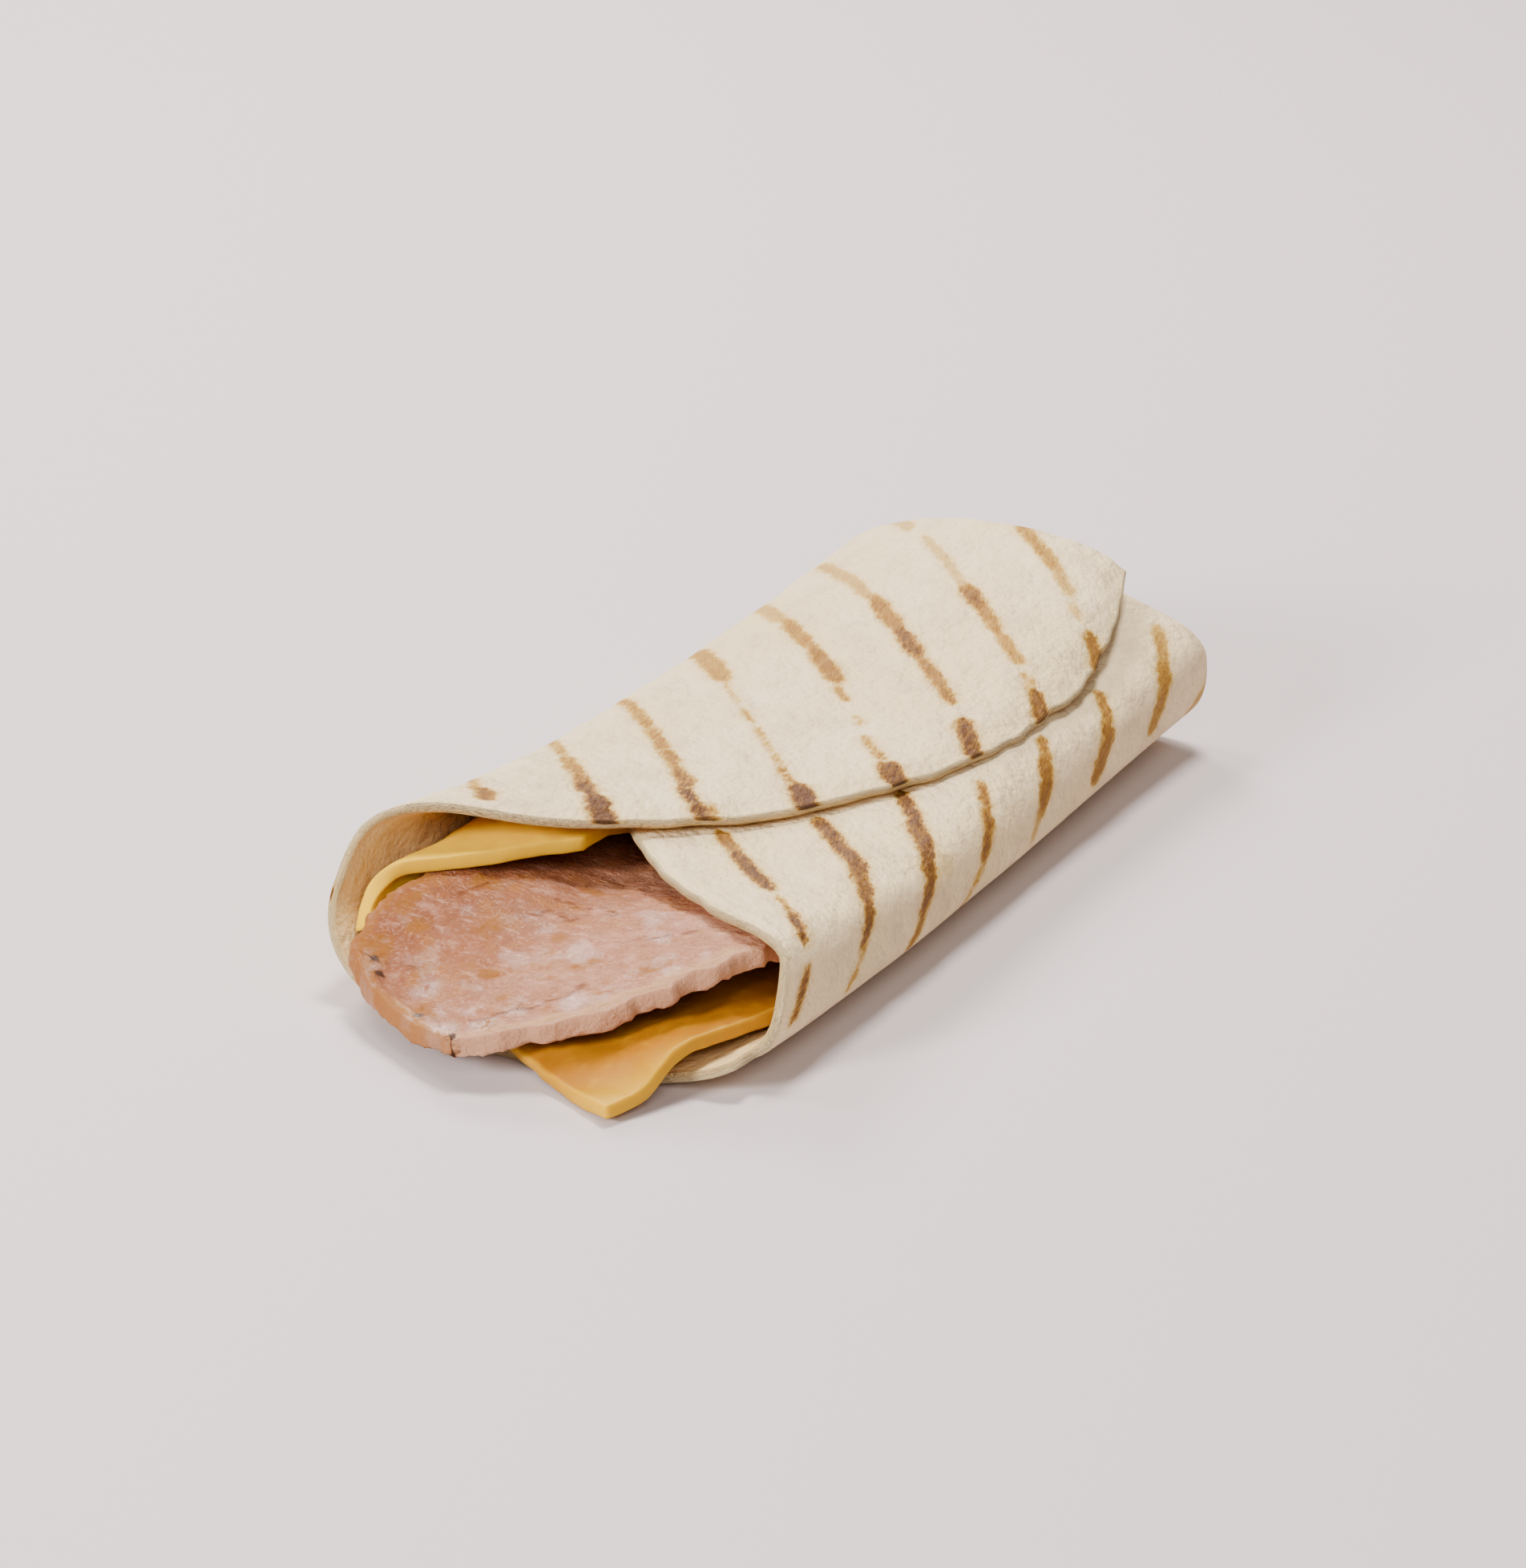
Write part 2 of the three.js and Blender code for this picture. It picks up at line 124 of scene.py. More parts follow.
def oval_at(v):
    """The numbers that shape the oval at v."""
    q = v / STATION
    return {
        "centre": polynomial(CENTRE_X, q),
        "half_width": polynomial(HALF_WIDTH, q),
        "flare": MOUTH_FLARE * smooth((v - 80) / 32),
        "half_height": polynomial(HALF_HEIGHT, q),
        "lean": polynomial(LEFT_LEAN, q),
        "sag": polynomial(TOP_SAG, q),
        "left_power": polynomial(LEFT_POWER, q),
        "right_power": np.clip(polynomial(RIGHT_POWER, q), *RIGHT_POWER_RANGE),
        "rise": FLAP_RISE[0] + FLAP_RISE[1] * np.clip(q, -1, 1),
        "drop": FAR_DROP * (1 - smooth((v - FOLD_V - 26) / 34)),
    }


def oval_point(oval, angle):
    """The superellipse of the docstring above, x and z."""
    sine, cosine = np.sin(angle), np.cos(angle)
    side_power = np.where(sine < 0, oval["left_power"], oval["right_power"])
    power = np.where(cosine > 0, FLOOR_POWER, side_power)
    across = np.sign(sine) * np.abs(sine) ** (2 / power)
    up = 1 - np.sign(cosine) * np.abs(cosine) ** (2 / power)
    sag = np.where(cosine < 0, -cosine * oval["sag"] * (1 - across**2), 0)
    height = oval["half_height"] * up * (1 - oval["lean"] * across) - sag - FLOOR_PRESSED
    half_width = oval["half_width"] + np.where(sine < 0, oval["flare"], 0)
    return oval["centre"] + half_width * across, np.maximum(0, height)


V_TABLE = np.arange(-47.0, 146.0, 1.0)
U_TABLE = np.arange(-150.0, 150.01, 0.3)
ANGLE_TABLE = np.radians(np.arange(-330.0, 290.01, 0.5))[None, :]
LAST_ROW = len(V_TABLE) - 1.001
LAST_COLUMN = len(U_TABLE) - 1.001


def roll_tables():
    """The rolled sheet's outer surface on a grid of v and u: its x, z and outward normal, its angle, and a
    length that also counts how far the sheet has turned."""
    oval = oval_at(V_TABLE[:, None])
    x, z = oval_point(oval, ANGLE_TABLE)
    ahead = oval_point(oval, ANGLE_TABLE + NORMAL_STEP)
    behind = oval_point(oval, ANGLE_TABLE - NORMAL_STEP)
    nx, nz = ahead[1] - behind[1], behind[0] - ahead[0]
    size = np.hypot(nx, nz)
    nx, nz = nx / size, nz / size
    degrees = np.degrees(ANGLE_TABLE)
    left = oval["rise"] * smooth((-degrees - 140) / 60)
    right = -oval["rise"] * (1 - smooth((220 - degrees) / 60)) - oval["drop"] * smooth((degrees - 95) / 50)
    out = np.where(degrees < 0, left, right)
    x, z = x + nx * out, z + nz * out
    walked = np.hypot(np.diff(x), np.diff(z))
    turned = np.hypot(np.diff(nx), np.diff(nz)) / np.pi
    start = np.zeros((len(V_TABLE), 1))
    length = np.hstack([start, np.cumsum(walked, axis=1)])
    weighted = np.hstack([start, np.cumsum(walked + TURN_WEIGHT * turned, axis=1)])
    middle = int(np.argmin(np.abs(ANGLE_TABLE[0])))
    length -= length[:, middle : middle + 1]
    angle = np.broadcast_to(ANGLE_TABLE, x.shape)
    fields = {"x": x, "z": z, "nx": nx, "nz": nz, "angle": angle, "weighted": weighted}
    tables = {}
    for name, values in fields.items():
        tables[name] = np.array([np.interp(U_TABLE, row_u, row) for row_u, row in zip(length, values)])
    return tables


TABLES = roll_tables()


def roll(u, v, names=("x", "z", "nx", "nz")):
    """The rolled sheet's outer surface at u and v, read from the tables between their entries."""
    i = np.clip((v - V_TABLE[0]) / (V_TABLE[1] - V_TABLE[0]), 0, LAST_ROW)
    j = np.clip((u - U_TABLE[0]) / (U_TABLE[1] - U_TABLE[0]), 0, LAST_COLUMN)
    row, column = i.astype(int), j.astype(int)
    result = []
    for name in names:
        table = TABLES[name]
        low = mix(table[row, column], table[row, column + 1], j - column)
        high = mix(table[row + 1, column], table[row + 1, column + 1], j - column)
        result.append(mix(low, high, i - row))
    return result


def weighted_rows(v):
    """The weighted length over the whole of U_TABLE, for each v in a list."""
    i = np.clip(v - V_TABLE[0], 0, LAST_ROW)
    row = i.astype(int)
    return mix(TABLES["weighted"][row], TABLES["weighted"][row + 1], (i - row)[:, None])


def inside_roll(u, v, depth):
    """The points a given depth inside the roll's outer surface."""
    x, z, nx, nz = roll(u, v)
    return np.stack([x - nx * depth, -v, z - nz * depth], axis=-1)


# ---- meshes ----


def normals_of(grid):
    """Unit normals: the cross product of the grid's steps along its rows and along its columns."""
    rows = np.gradient(grid, axis=0)
    columns = np.gradient(grid, axis=1)
    normal = np.cross(rows, columns)
    return normal / np.maximum(np.linalg.norm(normal, axis=-1, keepdims=True), 1e-9)


def solid_sheet(grid, upper, lower, rim, rings=4):
    """Closes a sheet. upper and lower are how far its two faces lie from the middle grid, as arrays, and rim is
    how far its half-round edge stands out: its ring at turn t lies at middle + half cos t + out rim sin t.
    Returns vertices, quads and, for each vertex, its place in the grid and a side from 1, on the upper face,
    to 0, on the lower one."""
    rows, columns = grid.shape[:2]
    count = rows * columns
    index = np.arange(count).reshape(rows, columns)
    border = np.concatenate([index[0, :-1], index[:-1, -1], index[-1, :0:-1], index[:0:-1, 0]])
    row, column = np.divmod(border, columns)
    inner = index[np.clip(row, 1, rows - 2), np.clip(column, 1, columns - 2)]
    flat = grid.reshape(-1, 3)
    normal = normals_of(grid).reshape(-1, 3)
    out = flat[border] - flat[inner]
    out -= normal[border] * np.sum(out * normal[border], axis=1, keepdims=True)
    out /= np.maximum(np.linalg.norm(out, axis=1, keepdims=True), 1e-9)
    top = flat + normal * upper.reshape(-1, 1)
    bottom = flat - normal * lower.reshape(-1, 1)
    middle = (top[border] + bottom[border]) / 2
    half = (top[border] - bottom[border]) / 2
    turns = np.pi * np.arange(1, rings + 1) / (rings + 1)
    rim_points = [middle + half * np.cos(turn) + out * rim * np.sin(turn) for turn in turns]
    rim_sides = [np.full(len(border), 0.5 + 0.5 * np.cos(turn)) for turn in turns]
    vertices = np.concatenate([top, bottom] + rim_points)
    places = np.concatenate([np.arange(count), np.arange(count)] + [border] * rings)
    sides = np.concatenate([np.ones(count), np.zeros(count)] + rim_sides)
    a, b = index[:-1, :-1].ravel(), index[1:, :-1].ravel()
    c, d = index[1:, 1:].ravel(), index[:-1, 1:].ravel()
    quads = [np.stack([a, b, c, d], axis=1), np.stack([a, d, c, b], axis=1) + count]
    first_ring = 2 * count + np.arange(len(border))
    loops = [border] + [first_ring + ring * len(border) for ring in range(rings)] + [border + count]
    for first, second in zip(loops[:-1], loops[1:]):
        quads.append(np.stack([first, np.roll(first, -1), np.roll(second, -1), second], axis=1))
    return vertices, np.concatenate(quads), places, sides


def put(name, node, material, vertices, quads, values, vectors=None):
    """Makes a piece that replaces a node. values and vectors are the attributes that its material reads."""
    mesh = bpy.data.meshes.new(name)
    mesh.from_pydata(((vertices - ORIGIN) * MM).tolist(), [], quads.tolist())
    for key, value in values.items():
        made = mesh.attributes.new(key, "FLOAT", "POINT")
        made.data.foreach_set("value", value.astype(np.float32))
    for key, value in (vectors or {}).items():
        made = mesh.attributes.new(key, "FLOAT_VECTOR", "POINT")
        made.data.foreach_set("vector", value.astype(np.float32).ravel())
    mesh.polygons.foreach_set("use_smooth", np.ones(len(mesh.polygons), dtype=bool))
    mesh.materials.append(material)
    mesh.update()
    piece = bpy.data.objects.new(name, mesh)
    bpy.context.scene.collection.objects.link(piece)
    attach(piece, "root")
    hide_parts(node)


# ---- materials ----


def connect(tree, node, inputs):
    """Links a socket to each named input of a node, or sets a constant on it."""
    for key, value in inputs.items():
        if isinstance(value, bpy.types.NodeSocket):
            tree.links.new(value, node.inputs[key])
        else:
            node.inputs[key].default_value = value


def add(tree, kind, inputs, **settings):
    made = tree.nodes.new("ShaderNode" + kind)
    for key, value in settings.items():
        setattr(made, key, value)
    connect(tree, made, inputs)
    return made


def new_material(name):
    material = bpy.data.materials.new(name)
    material.use_nodes = True
    tree = material.node_tree
    return material, tree, tree.nodes["Principled BSDF"]


def linear(red, green, blue):
    """A colour given in 0 to 255 sRGB, as Blender's linear colour."""
    c = np.array([red, green, blue]) / 255.0
    c = np.where(c <= 0.04045, c / 12.92, ((c + 0.055) / 1.055) ** 2.4)
    return (*c.tolist(), 1.0)


def object_place(tree):
    return add(tree, "TexCoord", {}).outputs["Object"]


def attribute(tree, name, output="Fac"):
    return add(tree, "Attribute", {}, attribute_name=name).outputs[output]


def noise(tree, vector, size_mm, detail=3.0, rough=0.5, unit=1.0):
    """Noise with features of about size_mm. unit is the vector's unit in millimetres."""
    inputs = {"Vector": vector, "Scale": unit / size_mm, "Detail": detail, "Roughness": rough}
    return add(tree, "TexNoise", inputs).outputs["Fac"]


def calc(tree, operation, a, b, c=0.0):
    return add(tree, "Math", {0: a, 1: b, 2: c}, operation=operation).outputs[0]


def frayed(tree, value, grain, amount):
    """A value moved up and down by a noise, by half the amount at most, so that its outline frays."""
    return calc(tree, "MULTIPLY_ADD", calc(tree, "SUBTRACT", grain, 0.5), amount, value)


def remap(tree, value, low, high, to_low=0.0, to_high=1.0):
    inputs = {"Value": value, "From Min": low, "From Max": high, "To Min": to_low, "To Max": to_high}
    return add(tree, "MapRange", inputs, interpolation_type="SMOOTHSTEP").outputs[0]


def blend(tree, share, a, b):
    return add(tree, "Mix", {0: share, 6: a, 7: b}, data_type="RGBA").outputs[2]


def mottled(tree, colour, patches):
    """Blends shades into a colour where a noise or an attribute is high or low. Each patch is that value, the
    two numbers between which the shade comes in, how much of it there is at most, and the shade."""
    for grain, low, high, share, shade in patches:
        colour = blend(tree, remap(tree, grain, low, high, 0, share), colour, linear(*shade))
    return colour


def colour_ramp(tree, share, shades):
    """A ramp through shades, each a place from 0 to 1 and a colour in 0 to 255 sRGB."""
    ramp = add(tree, "ValToRGB", {"Fac": share})
    stops = ramp.color_ramp.elements
    stops[0].color = linear(*shades[0][1])
    stops[1].color = linear(*shades[-1][1])
    for place, shade in shades[1:-1]:
        stop = stops.new(place)
        stop.color = linear(*shade)
    return ramp.outputs[0]


def bump(tree, height, distance_mm, strength=1.0, normal=None):
    inputs = {"Height": height, "Distance": distance_mm * MM, "Strength": strength}
    if normal is not None:
        inputs["Normal"] = normal
    return add(tree, "Bump", inputs).outputs[0]


def tortilla_material():
    """Floury dough, toasted and paler in patches, with grill marks where the mark attribute is positive."""
    material, tree, shader = new_material("tortilla_dough")
    flat = attribute(tree, "flat", "Vector")
    large = noise(tree, flat, 26.0, 2.0)
    middle = noise(tree, flat, 7.0, 3.0, 0.55)
    fine = noise(tree, flat, 1.6, 3.0, 0.6)
    speck = noise(tree, flat, 0.7, 2.0, 0.6)
    colour = blend(tree, remap(tree, large, 0.35, 0.65), linear(233, 207, 163), linear(229, 202, 154))
    colour = mottled(tree, colour, (
        (middle, 0.5, 0.68, 0.7, (214, 187, 148)),
        (middle, 0.42, 0.24, 0.5, (237, 214, 179)),
        (fine, 0.55, 0.8, 0.35, (209, 174, 127)),
        (speck, 0.66, 0.78, 0.4, (182, 148, 102)),
    ))

    # The raw rim of the sheet, and its inner face.
    colour = mottled(tree, colour, ((attribute(tree, "rim"), 1.6, 0.1, 0.55, (222, 194, 140)),))
    inner = calc(tree, "MULTIPLY", attribute(tree, "inner"), 0.75)
    colour = blend(tree, inner, colour, linear(226, 186, 118))

    # Grill marks: mark is the distance inside a mark's outline, in millimetres, and tone its strength. Streaks
    # run through them at a slant and fray their outline.
    mark = attribute(tree, "mark")
    tone = attribute(tree, "tone")
    ragged = noise(tree, flat, 2.3, 3.0, 0.65)
    slanted = {"Vector": flat, "Rotation": (0, 0, -0.45), "Scale": (2.2, 0.5, 1)}
    streak_place = add(tree, "Mapping", slanted, vector_type="TEXTURE").outputs[0]
    streak = noise(tree, streak_place, 0.9, 4.0, 0.7)
    edge = frayed(tree, frayed(tree, mark, ragged, 2.2), streak, 1.7)
    inside = remap(tree, edge, -0.5, 0.45)
    deep = calc(tree, "MULTIPLY", remap(tree, edge, -0.2, 1.1, 0.35, 1.0), tone)
    deep = calc(tree, "MULTIPLY", deep, remap(tree, streak, 0.3, 0.65, 0.8, 1.15))
    browns = (
        (0.0, (214, 178, 106)), (0.28, (190, 146, 58)), (0.55, (152, 103, 24)), (0.8, (118, 74, 14)),
        (1.0, (84, 46, 10)),
    )
    halo = calc(tree, "MULTIPLY", remap(tree, edge, -2.0, 0.1, 0, 0.75), tone)
    colour = blend(tree, halo, colour, linear(217, 180, 112))
    cover = calc(tree, "MULTIPLY", inside, remap(tree, tone, 0.1, 0.5, 0.35, 1.0))
    colour = blend(tree, cover, colour, colour_ramp(tree, deep, browns))

    lumps = calc(tree, "MULTIPLY_ADD", middle, 1.6, calc(tree, "MULTIPLY", fine, 0.5))
    sunken = calc(tree, "MULTIPLY_ADD", calc(tree, "MULTIPLY", inside, tone), -0.35, lumps)
    grain = calc(tree, "ADD", speck, calc(tree, "MULTIPLY", inside, streak))
    connect(tree, shader, {
        "Base Color": colour,
        "Roughness": 0.72,
        "Specular IOR Level": 0.32,
        "Subsurface Weight": 0.12,
        "Subsurface Radius": (1.0, 0.75, 0.5),
        "Subsurface Scale": 1.6 * MM,
        "Normal": bump(tree, grain, 0.12, 0.8, bump(tree, sunken, 1.1)),
    })
    return material


def cheese_material():
    """Sliced cheese, with a satin face. The tone attribute takes it from deep orange, painted shade, to pale
    yellow, painted light.
    """
    material, tree, shader = new_material("cheese_slice")
    place = object_place(tree)
    large = noise(tree, place, 18.0, 2.0, unit=METRE)
    fine = noise(tree, place, 2.5, 3.0, unit=METRE)
    share = calc(tree, "MULTIPLY_ADD", large, 0.12, attribute(tree, "tone"))
    # Painted shade and light: the deep orange end stands in for shade under the bacon, the pale yellow end for
    # light on the upper slice.
    painted_shade_to_light_oranges = ((0.0, (150, 82, 2)), (0.5, (197, 144, 14)), (1.0, (238, 188, 40)))
    colour = mottled(tree, colour_ramp(tree, share, painted_shade_to_light_oranges), (
        (fine, 0.5, 0.8, 0.25, (206, 158, 24)),
        (attribute(tree, "rim"), 0.9, 0.0, 0.4, (214, 166, 30)),
    ))
    connect(tree, shader, {
        "Base Color": colour,
        "Roughness": 0.42,
        "Specular IOR Level": 0.12,
        "Subsurface Weight": 0.3,
        "Subsurface Radius": (1.0, 0.55, 0.15),
        "Subsurface Scale": 3.0 * MM,
        "Normal": bump(tree, calc(tree, "MULTIPLY_ADD", fine, 0.4, large), 0.25),
    })
    return material


def bacon_material():
    """Cooked back bacon: lean meat with pale and dark fibres, a fatter edge, and browned, charred, cracked and
    wet places where the attributes of those names are high."""
    material, tree, shader = new_material("back_bacon")
    place = object_place(tree)
    # The fibres are drawn out across the slice.
    drawn_out = {"Vector": place, "Rotation": (0, 0, 0.5), "Scale": (0.5, 1.4, 1)}
    fibre_place = add(tree, "Mapping", drawn_out).outputs[0]
    large = noise(tree, place, 17.0, 3.0, unit=METRE)
    patch = noise(tree, place, 6.0, 4.0, 0.6, unit=METRE)
    fibre = noise(tree, fibre_place, 1.5, 4.0, 0.65, unit=METRE)
    fine = noise(tree, place, 0.6, 3.0, 0.6, unit=METRE)
    lean = blend(tree, remap(tree, large, 0.35, 0.65), linear(130, 74, 43), linear(140, 80, 44))
    pale = blend(tree, remap(tree, large, 0.35, 0.65), linear(172, 122, 95), linear(160, 104, 76))
    colour = mottled(tree, blend(tree, attribute(tree, "pale"), lean, pale), (
        (patch, 0.5, 0.64, 0.6, (154, 97, 44)),
        (patch, 0.45, 0.3, 0.55, (184, 134, 110)),
        (fibre, 0.52, 0.66, 0.4, (132, 77, 50)),
        (fibre, 0.46, 0.34, 0.5, (192, 142, 118)),
        (fine, 0.54, 0.68, 0.4, (198, 152, 128)),
        (fine, 0.44, 0.32, 0.3, (130, 74, 42)),
        (frayed(tree, attribute(tree, "fat"), patch, 1.2), 0.4, 0.9, 0.7, (190, 148, 104)),
        (attribute(tree, "rim"), 1.2, 0.1, 0.6, (180, 130, 106)),
        (frayed(tree, attribute(tree, "browned"), patch, 1.6), 0.3, 0.75, 0.8, (138, 82, 14)),
        (frayed(tree, attribute(tree, "charred"), fibre, 1.2), 0.4, 0.8, 1.0, (64, 30, 9)),
    ))
    crack = calc(tree, "MULTIPLY", attribute(tree, "crack"), remap(tree, fibre, 0.35, 0.6, 0.45, 1.0))
    colour = blend(tree, crack, colour, linear(112, 58, 26))
    damp = remap(tree, noise(tree, place, 7.0, 3.0, unit=METRE), 0.52, 0.64, 0, 0.45)
    wet = calc(tree, "MAXIMUM", damp, attribute(tree, "wet"))
    relief = calc(tree, "MULTIPLY_ADD", fibre, 0.6, calc(tree, "MULTIPLY", patch, 0.9))
    relief = calc(tree, "MULTIPLY_ADD", crack, -0.5, relief)
    connect(tree, shader, {
        "Base Color": colour,
        "Roughness": remap(tree, wet, 0, 1, 0.55, 0.1),
        "Specular IOR Level": remap(tree, wet, 0, 1, 0.12, 1.0),
        "Subsurface Weight": 0.2,
        "Subsurface Radius": (1.0, 0.4, 0.3),
        "Subsurface Scale": 2.5 * MM,
        "Normal": bump(tree, fine, 0.3, 0.8, bump(tree, relief, 0.7)),
    })
    return material


# ---- the grill marks, on the flat tortilla ----

# They are parallel lines. s is the length along them and d the distance across, and line n lies at
# d = MARK_FIRST - n MARK_PITCH.
MARK_SLOPE = np.radians(44.93)  # the marks' angle to the roll's cross direction, on the flat sheet
MARK_PITCH = 23.11 * np.cos(MARK_SLOPE)  # 23.11 apart along the roll
MARK_FIRST = 22.63 * np.cos(MARK_SLOPE)  # line 0 passes through u = 0, v = 22.63
MARK_LINES = range(-9, 9)
NO_MARK = -6.0  # the distance inside a mark's outline, where there is none

# Each dash: line, its two ends along the line, its two offsets across it, half width and strength.
DASHES = (
    (0, -114, -108, -1.8, -1.6, 1.6, 0.72), (0, -109, -92, -0.5, -1.6, 0.95, 0.5),
    (1, -122.5, -111, -2.0, -2.1, 2.2, 1.0), (1, -110.6, -104, -1.6, -1.6, 1.7, 0.88),
    (1, -104.5, -99, -1.7, -1.7, 1.6, 0.66), (1, -100, -91, -1.7, -1.7, 1.5, 0.52),
    (1, -92, -69, -1.5, -1.3, 1.25, 0.45),
    (2, -123, -115.5, -1.6, -1.2, 1.7, 0.92), (2, -121, -116, -3.4, -3.4, 0.8, 0.45),
    (2, -116, -109, -0.7, -0.3, 1.3, 1.0), (2, -109, -101, -1.6, -1.5, 1.4, 0.74),
    (2, -101.5, -81, -1.4, -1.6, 1.45, 0.58), (2, -82, -60, -1.5, -0.6, 1.4, 0.5),
    (3, -119.8, -111, -2.2, -2.3, 2.2, 0.98), (3, -110.5, -104, -1.5, -1.5, 0.95, 0.6),
    (3, -103, -98.5, -1.7, -1.6, 0.75, 0.45), (3, -97.5, -86, -1.6, -1.7, 0.8, 0.45),
    (3, -84, -78.5, -1.6, -1.7, 0.8, 0.5), (3, -76, -66, -1.6, -1.8, 0.7, 0.4),
    (3, -66, -43, -2.0, -1.3, 2.1, 0.46),
    (4, -113.2, -107.5, -2.0, -2.0, 2.2, 0.9), (4, -107, -96, -1.6, -1.4, 0.95, 0.6),
    (4, -91.5, -88, -2.3, -2.3, 0.7, 0.5), (4, -81.5, -75, -2.4, -2.4, 0.85, 0.6),
    (4, -75, -60, -3.0, -2.6, 1.8, 0.62), (4, -61, -45, -2.4, -1.7, 1.6, 0.52),
    (4, -46, -26, -1.2, 0.2, 1.8, 0.38),
    (5, -105.8, -94, -1.1, -2.3, 1.9, 0.88), (5, -88.8, -70, -2.5, -2.4, 1.5, 0.66),
    (5, -70, -59, -2.2, -2.0, 1.7, 0.84), (5, -60, -46, -2.0, -1.7, 1.8, 0.6),
    (5, -47, -21, -1.3, 1.4, 1.5, 0.38),
    (6, -94.8, -85.8, -0.6, -1.6, 1.8, 0.8), (6, -85, -81, -1.3, -1.3, 1.0, 0.42),
    (6, -78.5, -67, -1.5, -1.5, 1.4, 0.46), (6, -67, -57, -1.6, -1.5, 1.5, 0.54),
    (6, -57.5, -50, -1.3, -1.3, 1.8, 0.78), (6, -51, -27, -1.1, -0.9, 1.1, 0.33),
    (6, -23, -12, 0.0, 0.1, 1.5, 0.33),
    (7, -78, -68, -0.7, -2.0, 1.8, 0.66), (7, -65, -60, -1.0, -1.0, 1.0, 0.33),
    (7, -58, -50, -1.9, -1.9, 1.3, 0.38), (7, -50, -32, -1.9, -1.0, 1.5, 0.48),
    (-6, -48, -38.8, -4.2, -3.2, 1.1, 0.78), (-6, -35.2, -24, -1.1, -2.2, 1.15, 0.92),
    (-6, -22.8, -17, -2.4, -2.5, 0.75, 0.5), (-6, -14.5, 4.6, -2.7, -2.9, 1.6, 0.92),
    (-6, 5, 13, -2.8, -3.0, 1.7, 0.72),
    (-5, -35.5, -27, -2.3, -2.2, 0.7, 0.45), (-5, -28, -16, -1.0, -1.0, 1.4, 0.82),
    (-5, -18, -7, -1.7, -3.1, 1.5, 0.8), (-5, -9, 3, -3.7, -3.8, 1.9, 0.86),
    (-5, 2, 13.2, -3.8, -3.9, 1.7, 0.92),
    (-4, -21.5, -14, -1.8, -1.4, 1.3, 0.64), (-4, -15.5, -4, -0.8, -0.8, 1.8, 0.8),
    (-4, -5, 8.5, -1.3, -2.7, 1.9, 0.86), (-4, 7.5, 18.8, -3.0, -4.2, 1.6, 0.92),
    (-3, -8, 2, -0.9, -0.9, 0.9, 0.48), (-3, 1, 11, -0.2, -0.6, 1.5, 0.74),
    (-3, 10, 19.4, -0.7, -2.2, 1.1, 0.74),
    (-2, 11.5, 18, -0.9, -0.8, 1.2, 0.34), (-2, 16.8, 28, -0.7, -1.0, 2.1, 0.68),
    (-2, 27, 33.5, -1.2, -2.4, 1.3, 0.62),
    (-1, 29.5, 40.5, -2.0, -2.0, 2.2, 0.63), (-1, 39.5, 50, -2.4, -3.4, 1.4, 0.6),
    (0, 46, 60.5, -2.8, -2.8, 2.1, 0.5), (0, 59.5, 71, -3.3, -4.8, 1.4, 0.44),
    (1, 56, 70, -3.0, -3.5, 2.0, 0.4),
)
DRAWN_U = (-52.0, 31.0)  # on the left wall, the floor and the lower right wall the marks are drawn at random

# Tan spots between the marks: u, v, radius and strength.
SPOTS = (
    (-83.5, 88.9, 0.8, 0.9), (-98.5, 89.6, 2.1, 0.3), (-107.0, 69.5, 1.1, 0.2), (-117.5, 58.2, 1.0, 0.25),
    (51.3, 57.1, 2.6, 0.16), (125.5, 21.0, 1.0, 0.2),
)


def drawn_dashes():
    """The same family of marks between the two ends of DRAWN_U, by a seeded draw."""
    draw = np.random.default_rng(7)
    dashes = []
    for line in MARK_LINES:
        d = MARK_FIRST - line * MARK_PITCH
        start, end = [(u - d * np.sin(MARK_SLOPE)) / np.cos(MARK_SLOPE) for u in DRAWN_U]
        while start < end:
            long = draw.uniform(7, 20)
            half_width = draw.uniform(0.8, 1.7)
            strength = draw.uniform(0.35, 0.8)
            offsets = draw.uniform(-2.4, -0.8, 2)
            dashes.append((line, start, min(start + long, end), *offsets, half_width, strength))
            start += long + draw.uniform(-1, 4)
    return dashes


def marks_at(s, d):
    """How far each place lies inside a mark's outline, in millimetres, and the strength of that mark.
    A dash reaches half_width sqrt(1 - along^5) to both sides of its axis, where along goes from 0 at its middle
    to 1 at its ends, and the dashes' strengths are averaged with weights that fall off outside them."""
    best = np.full(s.shape, NO_MARK)
    weight = np.full(s.shape, 1e-6)
    tone = np.zeros(s.shape)
    for line, start, end, offset, offset_end, half_width, strength in (*DASHES, *drawn_dashes()):
        middle, reach = (start + end) / 2, (end - start) / 2 + 0.6
        along = np.abs(s - middle) / reach
        stray = mix(offset, offset_end, np.clip((s - start) / (end - start), 0, 1))
        axis = MARK_FIRST - line * MARK_PITCH + stray
        width = half_width * np.sqrt(np.clip(1 - along**5, 0, 1))
        field = width - np.abs(d - axis) - np.maximum(0, along - 1) * reach
        best = np.maximum(best, field)
        share = np.exp(np.clip(field, -8, 4) / 0.6)
        weight += share
        tone += share * strength
    return best, tone / weight


def marks_and_spots(u, v, s, d):
    """The marks, with the spots over them: a spot's strength shows where one lies deeper inside it."""
    mark, tone = marks_at(s, d)
    for spot_u, spot_v, size, strength in SPOTS:
        field = size - np.hypot(u - spot_u, v - spot_v)
        tone = np.where(field > mark, strength, tone)
        mark = np.maximum(mark, field)
    return mark, tone


# ---- the tortilla ----

